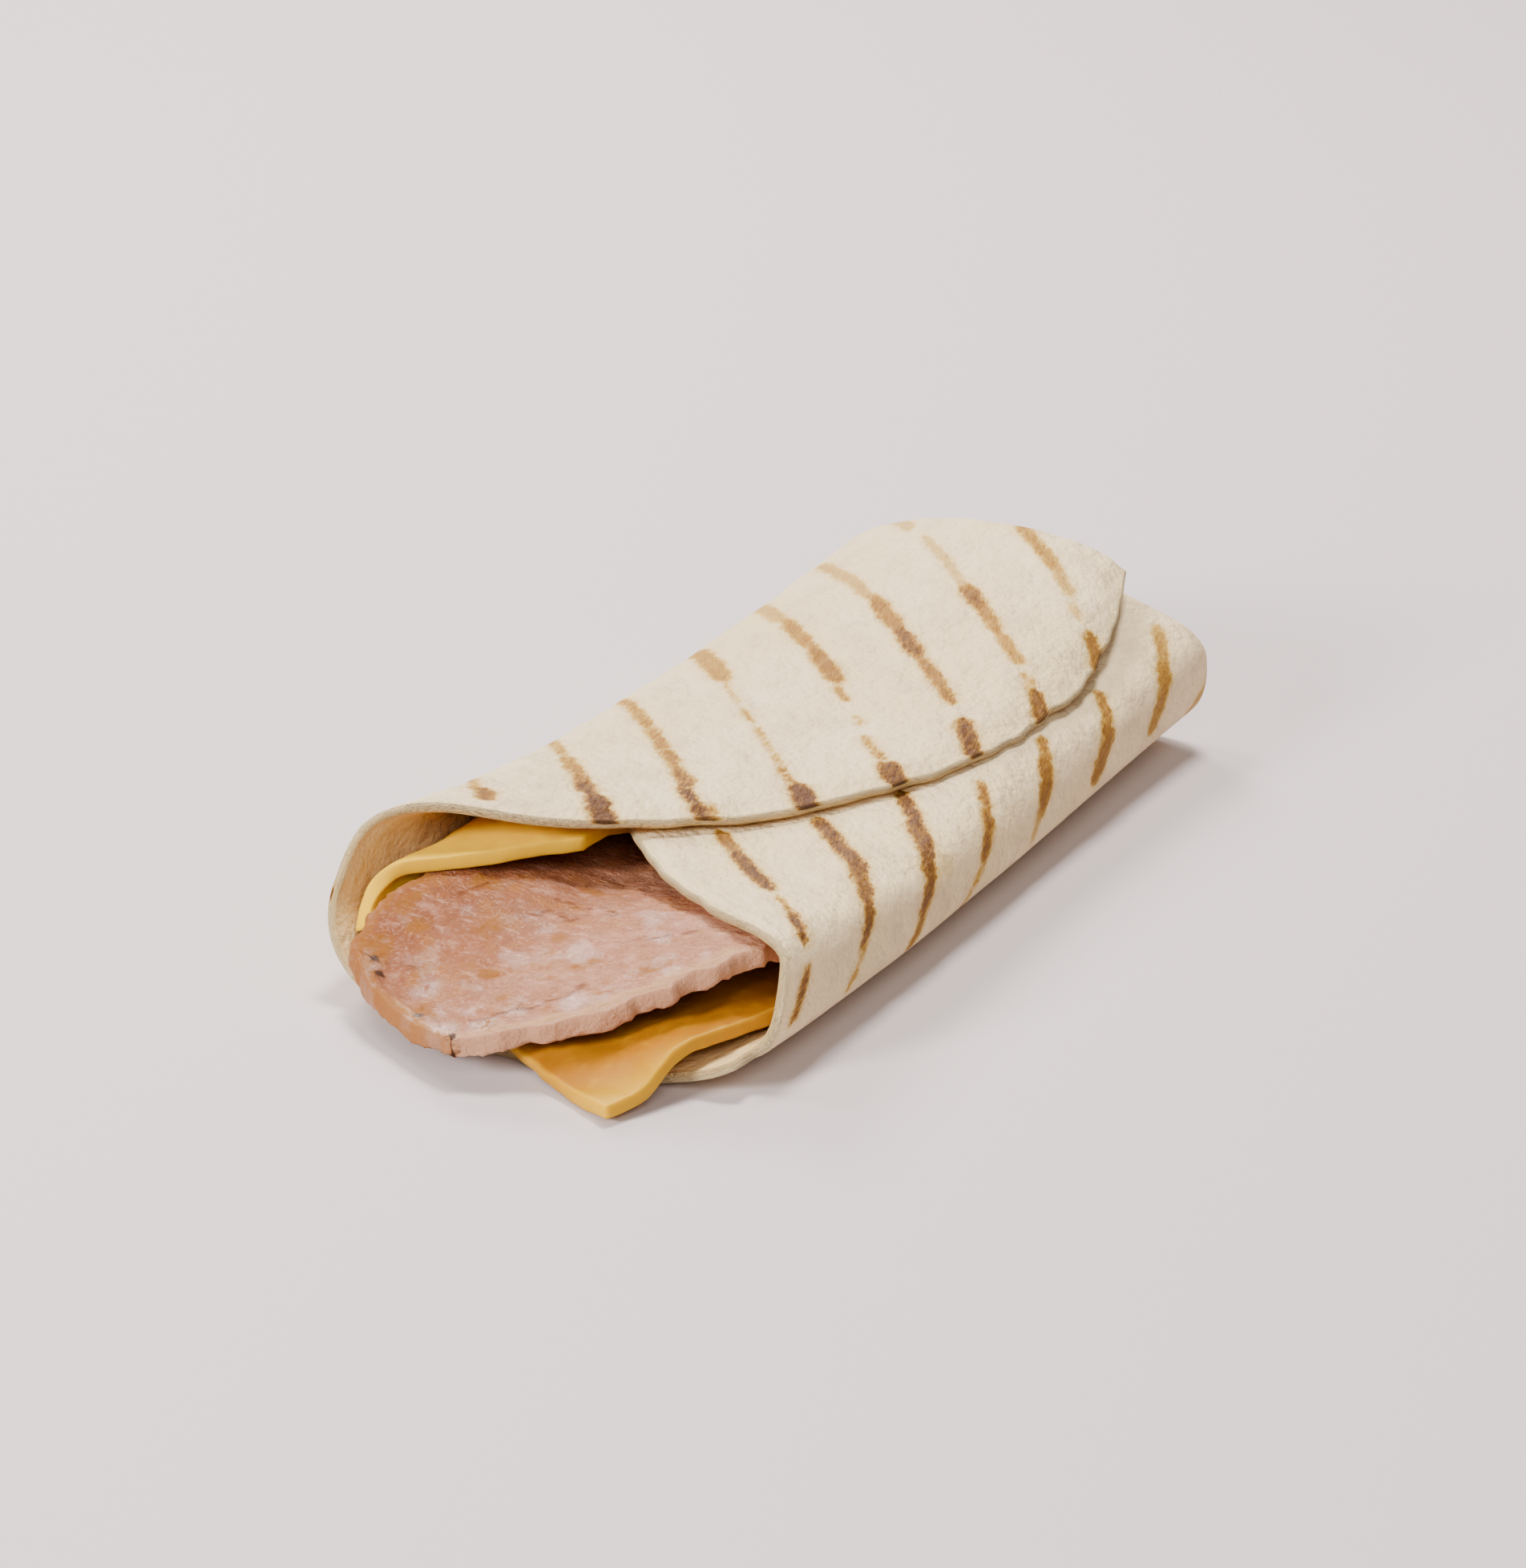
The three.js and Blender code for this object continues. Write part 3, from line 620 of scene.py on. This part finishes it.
FRONT_ANGLE = np.radians(88.7)  # the first row is a short one, just inside the sheet's front edge
FRONT_ROWS = 162
TURN_ROWS = 6
TUCK_ROWS = 18
COLUMNS = 257
RAGGED = 0.28  # how far the sheet's edge strays
EDGE_OUT = 0.2  # how much farther out it lies on the whole
RIM_THICKNESS = 0.72  # share of the thickness that is left at the rim
SEAM_SUNK = 0.6  # along the seam the left flap's edge is pressed down by this much
FOLD_BULGE = 0.7  # how far the fold stands out, as a share of a half circle
FACE_SHIFT = 40.0  # the upper and lower faces read their patterns this far apart


def chords(v):
    """Half the sheet's width at v, to the left and to the right of its centre: it isn't quite round."""
    left = v + LEFT_SHORT * smooth((120 - v) / 24) * smooth((v - 20) / 70)
    right = v + RIGHT_SHORT * smooth((123.5 - v) / 8) * smooth((v - 45) / 30)
    return np.sqrt(RADIUS**2 - left**2), np.sqrt(RADIUS**2 - right**2)


def tortilla_rows():
    """For each row its v on the flat sheet, the v of the cross-section it lies in, and how far it has turned,
    from 0 outside the roll to 1 in the turned-in part. Rows run from the open end to the far fold, evenly by
    the angle on the disc, round the fold, and on along the turned-in part."""
    front = RADIUS * np.sin(np.linspace(FRONT_ANGLE, np.arcsin(FOLD_V / RADIUS), FRONT_ROWS))
    at_fold = np.full(TURN_ROWS, FOLD_V)
    tuck = TURNED_IN * np.linspace(0, 1, TUCK_ROWS + 1)[1:]
    turn = np.linspace(0, 1, TURN_ROWS + 1)[1:]
    sheet_v = np.concatenate([front, at_fold, FOLD_V - tuck])[:, None]
    station = np.concatenate([front, at_fold, FOLD_V + tuck])[:, None]
    turned = np.concatenate([np.zeros(FRONT_ROWS), turn, np.ones(TUCK_ROWS)])[:, None]
    return sheet_v, station, turned


def tortilla_columns(sheet_v, station, left, right):
    """u on each row, from the left edge to the right one, even by length plus turning, so that columns crowd
    where the sheet bends."""
    ragged = RAGGED * edge_waves(sheet_v, 9.0, seed=3, count=16)
    left_end = SHEET_OFFSET - left - ragged - EDGE_OUT
    right_end = SHEET_OFFSET + right + ragged[::-1] + EDGE_OUT
    first, last = [roll(end, station, ("weighted",))[0] for end in (left_end, right_end)]
    aim = mix(first, last, np.linspace(0, 1, COLUMNS)[None, :])
    rows = zip(aim, weighted_rows(station[:, 0]))
    return np.array([np.interp(row, row_weighted, U_TABLE) for row, row_weighted in rows])


def tortilla_middle(u, station, turned):
    """The sheet's middle surface and its angle in the roll: the outer surface moved inwards by half the sheet,
    and round the far fold on a flattened half circle. The floor's turned-in part rises to the roof, as a tongue
    that closes the end."""
    x, z, nx, nz, angle = roll(u, station, ("x", "z", "nx", "nz", "angle"))
    radius = (SHEET + LAYER_GAP) / 2
    depth = SHEET / 2 + radius * (1 - np.cos(np.pi * turned))
    beyond = FOLD_BULGE * radius * np.sin(np.pi * turned)
    grid = np.stack([x - nx * depth, beyond - station, z - nz * depth], axis=-1)
    lift = smooth((station - FOLD_V) / TONGUE_REACH) * (1 - np.abs(np.sin(angle)) ** 6)
    lift = np.where((turned == 1) & (np.abs(angle) < np.pi / 2), lift, 0)
    ceiling = oval_point(oval_at(station), np.pi - angle)[1] - TONGUE_ROOM
    grid[..., 2] = mix(grid[..., 2], ceiling, lift)
    grid[..., 1] += TONGUE_SHRINK * lift
    return grid, angle


def tortilla():
    """The disc, rolled: its middle surface with low lumps, thinned towards its rim, and along the seam pressed
    down onto the flap under it."""
    sheet_v, station, turned = tortilla_rows()
    left, right = chords(sheet_v)
    u = tortilla_columns(sheet_v, station, left, right)
    v = np.broadcast_to(sheet_v, u.shape)
    grid, angle = tortilla_middle(u, np.broadcast_to(station, u.shape), turned)
    # Low lumps, on both faces alike and all of them inwards. The floor stays flat on the table.
    flat_uv = np.stack([u, v], axis=-1)
    lumps = 0.13 * waves(flat_uv, 24, seed=11) + 0.06 * waves(flat_uv, 9, seed=12)
    lumps = (np.clip(lumps, -0.16, 0.16) - 0.2) * smooth((np.abs(angle) - 1.0) / 0.6)
    grid += normals_of(grid) * lumps[..., None]
    # edge is the distance to the sheet's edge, from the circle's equation, and seam is 1 on the left flap where
    # it lies on the right one.
    reach = np.where(u < SHEET_OFFSET, left, right)
    edge = (reach**2 - (u - SHEET_OFFSET) ** 2) / (2 * RADIUS)
    seam = smooth((100 - v) / 16) * (u < 0)
    thin = mix(RIM_THICKNESS, 1.0, smooth(edge / 2.2))
    pressed = mix(RIM_THICKNESS, 1.0, smooth(edge / 4.0))
    grid -= normals_of(grid) * (SEAM_SUNK * seam * (1 - smooth(edge / 8)))[..., None]
    upper = SHEET / 2 * mix(thin, 2 * pressed - 1, seam)
    lower = SHEET / 2 * mix(thin, 1.0, seam)
    vertices, quads, places, sides = solid_sheet(grid, upper, lower, rim=0.6)
    vertices[:, 2] = np.maximum(vertices[:, 2], 0)
    s = (u * np.cos(MARK_SLOPE) - v * np.sin(MARK_SLOPE)).ravel()[places]
    d = (u * np.sin(MARK_SLOPE) + v * np.cos(MARK_SLOPE)).ravel()[places]
    mark, tone = marks_and_spots(u.ravel()[places], v.ravel()[places], s, d)
    values = {
        "mark": np.where(sides > 0.6, mark, NO_MARK),
        "tone": tone,
        "rim": edge.ravel()[places],
        "inner": smooth((0.6 - sides) / 0.4),
    }
    vectors = {"flat": np.stack([s, d, sides * FACE_SHIFT], axis=-1)}
    put("tortilla_skin", "tortilla", tortilla_material(), vertices, quads, values, vectors)


# ---- the cheese ----

LOWER_CHEESE = (72.0, 52.0)  # length and width of the lower slice
LOWER_CORNER = (23.0, 140.0)  # u and v of its corner on the table
LOWER_TURN = np.radians(-65)  # of its right edge, seen on the flat sheet
LOWER_FRONT_SLOPE = 0.46  # its front edge runs back by this much for each millimetre to the left
LOWER_HUMP = 2.4
UPPER_CHEESE = (28.0, 66.0)  # about the width and length of the upper slice
UPPER_RIGHT_X = -11.5
UPPER_BEND_X = -32.8
UPPER_BEND_RADIUS = 3.5
UPPER_DROP = 4.0  # how far it hangs below the bend
UPPER_FRONT_Y = (-83.0, -108.0)  # at the right edge and at the bend
UPPER_TOE = 7.0  # how much farther forwards its lowest corner reaches
UPPER_BACK_Y = -30.0
UPPER_HEIGHT = (14.6, 17.8)  # of its level part, inside the roll and in the mouth
UPPER_SPREAD = 1.95  # in the mouth its left part lies this much farther out, as the flaring wall does
TABLE_GAP = 0.3  # no slice comes nearer to the table


def edge_distance(rows, columns, row_length, column_length):
    """Distance from each grid point to the sheet's nearest edge."""
    p = np.linspace(0, row_length, rows)[:, None]
    q = np.linspace(0, column_length, columns)[None, :]
    return np.minimum(np.minimum(p, row_length - p), np.minimum(q, column_length - q))


def put_cheese(name, node, grid, size, material, seed, tone):
    """A slice on a grid of middle points, with low lumps and a thickness that wavers a little. size is the
    slice's size along the grid's rows and columns."""
    lumps = 0.09 * waves(grid, 16, seed) + 0.03 * waves(grid, 4, seed + 1)
    grid = grid + normals_of(grid) * lumps[..., None]
    edge = edge_distance(*grid.shape[:2], *size)
    half = CHEESE / 2 * mix(0.93, 1.0, smooth(edge / 0.9)) * (1 + 0.03 * waves(grid, 5, seed + 2))
    vertices, quads, places, _ = solid_sheet(grid, half, half, rim=0.3, rings=5)
    vertices[:, 2] = np.maximum(vertices[:, 2], TABLE_GAP)
    values = {"rim": edge.ravel()[places], "tone": tone.ravel()[places]}
    put(name, node, material, vertices, quads, values)


def lower_cheese(material):
    """A turned rectangle on the flat sheet, laid a small gap inside the roll. Its corner sticks out over the
    rim of the mouth onto the table, and its right part is humped, clear of the tortilla."""
    length, width = LOWER_CHEESE
    p = np.linspace(0, length, 110)[:, None]
    q = np.linspace(0, width, 84)[None, :]
    p, q = np.broadcast_arrays(p, q)
    u = LOWER_CORNER[0] + p * np.cos(LOWER_TURN) + q * np.sin(LOWER_TURN)
    v = LOWER_CORNER[1] + p * np.sin(LOWER_TURN) - q * np.cos(LOWER_TURN)
    hump = LOWER_HUMP * smooth((p - 7) / 12) * smooth((u - 4) / 20) * (1 - smooth((u - 28) / 12))
    over_rim = (SHEET + 0.45) * smooth((v - 126.5) / 9)
    grid = inside_roll(u, v, SHEET + 0.5 + CHEESE / 2 + hump - over_rim)
    near_edge = np.exp(-edge_distance(*grid.shape[:2], length, width) / 1.5)
    grid[..., 1] += 0.1 * waves(np.stack([u, v], axis=-1), 5, seed=31) * near_edge
    # Painted shade: it is a deeper orange from the bacon's edge inwards, where the bacon and the right flap
    # shade it.
    from_bacon = 0.66 * (grid[..., 0] - 5) - 0.75 * (grid[..., 1] + 134)
    inwards = 1 - smooth((from_bacon - 6) / 12)
    tone = 0.5 - 0.44 * inwards
    put_cheese("cheese_under_bacon", "lower_cheese", grid, LOWER_CHEESE, material, 21, tone)


def upper_cheese(material):
    """A slice whose profile, by the length w from its right edge, is level, bends down on a quarter circle and
    hangs. Its front edge is slanted, from the right edge forwards to its lowest corner."""
    level = UPPER_RIGHT_X - UPPER_BEND_X - UPPER_BEND_RADIUS
    arc = UPPER_BEND_RADIUS * np.pi / 2
    w = np.linspace(level + arc + UPPER_DROP, 0, 70)[:, None]
    bend = np.clip((w - level) / UPPER_BEND_RADIUS, 0, np.pi / 2)
    below = np.maximum(0, w - level - arc)
    x = UPPER_RIGHT_X - np.minimum(w, level) - UPPER_BEND_RADIUS * np.sin(bend) + 0.06 * below**2
    z = -UPPER_BEND_RADIUS * (1 - np.cos(bend)) - below
    front = mix(*UPPER_FRONT_Y, np.clip(w / (level + arc / 2), 0, 1))
    toe = -UPPER_TOE * np.clip((w - level - arc / 2) / (arc / 2 + UPPER_DROP), 0, 1)
    y = mix(front + toe, UPPER_BACK_Y, np.linspace(0, 1, 110)[None, :])
    spread = UPPER_SPREAD * np.clip(w / level, 0, 1) * smooth((-92 - y) / 14)
    raised = mix(*UPPER_HEIGHT, smooth((-62 - y) / 15))
    grid = np.stack([x - spread, y, z + raised], axis=-1)
    # Painted light: the upper slice takes the pale, lit end of the cheese's colours.
    tone = np.full(y.shape, 0.97)
    put_cheese("cheese_on_bacon", "upper_cheese", grid, UPPER_CHEESE, material, 41, tone)


# ---- the bacon ----

BACON_TIP = (-2.0, -139.0)
BACON_FAR_Y = 11.0
BACON_SIDES_X = (-28.7, 36.0)
BACON_MIDDLE_X = 3.65  # where its two edges meet at the far end
BACON_ROWS = 250
BACON_COLUMNS = 164
SMOOTHING_PASSES = 60

# Browned, charred and wet places on the slice: x, y, size and strength. Cracks: both ends.
BROWNED = (
    (-10.2, -133.0, 3.0, 1.2), (-0.6, -108.4, 2.6, 0.8), (-7.0, -88.9, 4.0, 0.7), (-20.0, -98.5, 4.0, 0.75),
    (-23.0, -113.0, 3.0, 0.6), (2.4, -134.0, 2.2, 0.6), (21.0, -114.5, 2.8, 0.8), (-6.7, -120.4, 1.6, 1.0),
    (-13.0, -111.0, 3.0, 0.65), (8.0, -114.0, 3.0, 0.65), (14.0, -101.0, 3.4, 0.6),
    (-27.0, -119.5, 3.6, 0.8), (-28.0, -110.0, 3.0, 0.8), (-1.0, -126.0, 2.2, 0.6),
    (-17.0, -122.0, 2.4, 0.6),
)
CHARRED = (
    (-26.6, -122.6, 1.5, 1.0), (-24.0, -125.6, 1.4, 1.0), (-11.2, -133.6, 1.2, 1.0), (-2.0, -138.2, 1.0, 1.0),
)
WET = (
    (-5.0, -136.5, 2.6, 1.0), (1.0, -134.0, 2.2, 1.0), (-14.0, -126.0, 2.6, 1.0), (12.0, -124.5, 2.6, 1.0),
    (-8.0, -140.0, 1.6, 1.0),
)
CRACKS = (
    (-12.0, -102.2, -0.7, -100.7), (-21.7, -104.3, -20.0, -98.5), (-1.8, -133.0, 6.7, -126.7),
    (-9.0, -96.0, 4.0, -98.0), (6.7, -126.7, 11.0, -121.0), (-24.0, -121.0, -18.0, -122.0),
    (10.0, -108.0, 22.0, -104.0),
)


def roll_height(x, y, depth, first, last):
    """Height of a stretch of the roll, at a depth inside its outer surface, above each x, for each row of y.
    The stretch goes from the first to the last angle, in degrees."""
    rows = []
    for row_x, row_y in zip(x, y[:, 0]):
        i = int(np.clip(round(-row_y - V_TABLE[0]), 0, len(V_TABLE) - 1))
        angle = TABLES["angle"][i]
        stretch = (angle > np.radians(first)) & (angle < np.radians(last))
        place = (TABLES["x"][i] - TABLES["nx"][i] * depth)[stretch]
        height = (TABLES["z"][i] - TABLES["nz"][i] * depth)[stretch]
        order = np.argsort(place)
        rows.append(np.interp(row_x, place[order], height[order]))
    return np.array(rows)


def bacon_edges(y):
    """Left and right edges of the slice at y. Each leaves the tip on a curve like 1 - (1 - t)^1.9 and closes
    the far end on a quarter circle, and both stray a little."""
    from_tip = y - BACON_TIP[1]
    left_share = 1 - (1 - np.clip(from_tip / 20, 0, 1)) ** 1.9
    right_share = 1 - (1 - np.clip(from_tip / 41, 0, 1)) ** 1.9
    far_share = np.sqrt(1 - (1 - np.clip((BACON_FAR_Y - y) / 30, 0, 1)) ** 2)
    side = BACON_SIDES_X[0] - 2.6 * smooth((-100 - y) / 8)
    left = mix(BACON_MIDDLE_X, mix(BACON_TIP[0], side, left_share), far_share)
    right = mix(BACON_MIDDLE_X, mix(BACON_TIP[0], BACON_SIDES_X[1], right_share), far_share)
    strays = smooth(from_tip / 6)
    left_waves = 0.4 * edge_waves(y, 5.0, seed=51, count=18) + 0.15 * edge_waves(y, 1.7, seed=52, count=18)
    right_waves = 0.4 * edge_waves(y, 5.5, seed=53, count=18) + 0.15 * edge_waves(y, 1.8, seed=54, count=18)
    return left + strays * left_waves, right + strays * right_waves


def bacon_height(x, y):
    """Height of the slice's middle. Its underside droops out of the mouth, climbs to the right as a power of x,
    curls up at the left, lies on the lower cheese and behind that on the floor, and keeps under the roof.
    Then each pass of smoothing moves a point half way to the mean of its neighbours, along and across."""
    floor = roll_height(x, y, SHEET + 0.8, -80, 80)
    roof = roll_height(x, y, SHEET + 0.7, 100, 260)
    droop = mix(3.1, 8.8, smooth((y + 133) / 32)) - 3 * smooth((y + 98) / 24) - 4 * smooth((y + 58) / 20)
    climb = mix(8.4, 2.0, smooth((y + 62) / 30)) * (np.maximum(0, x + 16) / 52) ** 1.6
    curl = (2.3 * smooth((-4 - x) / 12) + 1.7 * smooth((-20 - x) / 10)) * smooth((y + 124) / 14)
    curl = curl * (1 - smooth((y + 88) / 24))
    behind_front = y + LOWER_CORNER[1] + (x - LOWER_CORNER[0]) * LOWER_FRONT_SLOPE
    on_cheese = smooth((behind_front + 5) / 5) * (1 - smooth((behind_front - 1.1 * LOWER_CHEESE[0]) / 8))
    z = np.maximum(droop + climb + curl, floor + (CHEESE + 0.5) * on_cheese)
    z = np.minimum(z, roof - BACON) + BACON / 2
    for _ in range(SMOOTHING_PASSES):
        z[1:-1] = (z[:-2] + 2 * z[1:-1] + z[2:]) / 4
        z[:, 1:-1] = (z[:, :-2] + 2 * z[:, 1:-1] + z[:, 2:]) / 4
    return z


def round_spots(x, y, spots):
    """The strongest spot at each place, each one strength exp(-(distance / size)^2)."""
    best = np.zeros(x.shape)
    for spot_x, spot_y, size, strength in spots:
        best = np.maximum(best, strength * np.exp(-((x - spot_x) ** 2 + (y - spot_y) ** 2) / size**2))
    return best


def crack_lines(x, y):
    """The nearest crack at each place, as exp(-(distance / 0.45)^2) from a line that waves in y bend."""
    best = np.zeros(x.shape)
    bent = y + 0.5 * waves(np.stack([x, y], axis=-1), 5, seed=58)
    for start_x, start_y, end_x, end_y in CRACKS:
        along_x, along_y = end_x - start_x, end_y - start_y
        squared = along_x**2 + along_y**2
        share = np.clip(((x - start_x) * along_x + (bent - start_y) * along_y) / squared, 0, 1)
        away = np.hypot(x - start_x - share * along_x, bent - start_y - share * along_y)
        best = np.maximum(best, np.exp(-((away / 0.45) ** 2)))
    return best


def bacon():
    """The slice: rows from the tip to the far end, closer together at both, and columns from edge to edge,
    with a relief on its upper face and half of it on the lower one."""
    share = (1 - np.cos(np.pi * np.linspace(0.012, 1, BACON_ROWS))) / 2
    y = mix(BACON_TIP[1] + 0.3, BACON_FAR_Y - 0.6, share)[:, None]
    left, right = bacon_edges(y)
    x = mix(left, right, np.linspace(0, 1, BACON_COLUMNS)[None, :])
    y = np.broadcast_to(y, x.shape)
    grid = np.stack([x, y, bacon_height(x, y)], axis=-1)
    plane = grid[..., :2]
    from_ends = np.minimum(y - BACON_TIP[1], BACON_FAR_Y - y)
    edge = np.minimum(np.minimum(x - left, right - x) * 0.8, from_ends)
    relief = 0.16 * waves(plane, 9, seed=55) + 0.13 * waves(plane, 4.0, seed=56)
    relief = relief + 0.09 * waves(plane, 1.9, seed=57)
    half = BACON / 2 * mix(0.78, 0.95, smooth(edge / 1.8))
    upper = half + np.clip(relief, -0.5, 0.45)
    lower = half + 0.5 * np.clip(relief[:, ::-1], -0.4, 0.4)
    vertices, quads, places, _ = solid_sheet(grid, upper, lower, rim=0.5, rings=5)
    flat_x, flat_y = x.ravel()[places], y.ravel()[places]
    rim = edge.ravel()[places]
    from_left = (x - left).ravel()[places]
    browned_edge = 0.75 * np.exp(-((from_left / 2.6) ** 2)) * smooth((-98 - flat_y) / 8)
    fat_edge = np.exp(-((rim / 3.4) ** 2))
    values = {
        "browned": np.maximum(browned_edge, round_spots(flat_x, flat_y, BROWNED)),
        "charred": round_spots(flat_x, flat_y, CHARRED),
        "crack": crack_lines(flat_x, flat_y),
        "wet": round_spots(flat_x, flat_y, WET),
        "pale": smooth((flat_x + 27) / 42),
        "fat": fat_edge * smooth((flat_x + 22) / 6) * smooth((-100 - flat_y) / 10),
        "rim": rim,
    }
    put("back_bacon_slice", "bacon", bacon_material(), vertices, quads, values)


# ---- the stage ----

FLOOR_HALF = 4.0  # half the floor's width, in metres
SOFT_WHITE = (1.0, 0.985, 0.97)
NEUTRAL_WHITE = (1.0, 0.985, 0.975)


def stage_floor():
    mesh = bpy.data.meshes.new("floor")
    low, high = -FLOOR_HALF, FLOOR_HALF
    mesh.from_pydata([(low, low, 0), (high, low, 0), (high, high, 0), (low, high, 0)], [], [(0, 1, 2, 3)])
    plane = bpy.data.objects.new("floor", mesh)
    bpy.context.scene.collection.objects.link(plane)
    material, tree, shader = new_material("floor")
    connect(tree, shader, {"Base Color": linear(210, 197, 195), "Roughness": 0.6, "Specular IOR Level": 0.2})
    mesh.materials.append(material)


def studio():
    world = bpy.data.worlds.new("studio")
    bpy.context.scene.world = world
    world.use_nodes = True
    background = world.node_tree.nodes["Background"]
    background.inputs["Color"].default_value = (1.0, 0.975, 0.955, 1.0)
    background.inputs["Strength"].default_value = 0.04


def light(name, place, size, power, colour):
    """A round lamp that looks at the wrap. place and size are in metres."""
    data = bpy.data.lights.new(name, "AREA")
    data.shape = "DISK"
    data.size = size
    data.energy = power
    data.color = colour
    lamp = bpy.data.objects.new(name, data)
    lamp.location = place
    lamp.rotation_euler = (-Vector(place)).to_track_quat("-Z", "Y").to_euler()
    bpy.context.scene.collection.objects.link(lamp)


def lights():
    light("back", (-0.1, 0.45, 1.2), 0.35, 23.5, SOFT_WHITE)
    light("left", (-0.75, 0.25, 1.0), 0.35, 6.0, SOFT_WHITE)
    light("low left", (-0.8, 0.8, 0.7), 0.4, 12.5, SOFT_WHITE)
    light("front", (-0.5, -1.15, 0.6), 0.4, 30.0, NEUTRAL_WHITE)
    light("camera side", (0.7, -1.0, 0.9), 0.9, 12.5, NEUTRAL_WHITE)


SENSOR = 36.0
FRAME_HEIGHT = 1957  # pixels of the frame's longer side
FOCAL_PIXELS = 6954.71
AZIMUTH, ELEVATION = np.radians(28.97), np.radians(22.0)
DISTANCE = 0.93343
AIM = np.array([-2.03, -40.06, 15.0])  # in the roll's coordinates


def camera():
    """Looks at AIM from DISTANCE metres, from AZIMUTH to the right of -y and ELEVATION above the table."""
    data = bpy.data.cameras.new("camera")
    data.sensor_width = SENSOR
    data.lens = SENSOR * FOCAL_PIXELS / FRAME_HEIGHT
    data.clip_start = 0.01
    level = np.cos(ELEVATION)
    back = Vector((np.sin(AZIMUTH) * level, -np.cos(AZIMUTH) * level, np.sin(ELEVATION)))
    right = Vector((np.cos(AZIMUTH), np.sin(AZIMUTH), 0))
    up = back.cross(right)
    target = Vector(((AIM - ORIGIN) * MM).tolist())
    turn = Matrix((right, up, back)).transposed().to_4x4()
    eye = bpy.data.objects.new("camera", data)
    eye.matrix_world = Matrix.Translation(target + back * DISTANCE) @ turn
    bpy.context.scene.collection.objects.link(eye)
    bpy.context.scene.camera = eye


tortilla()
cheese = cheese_material()
lower_cheese(cheese)
upper_cheese(cheese)
bacon()
stage_floor()
studio()
lights()
camera()
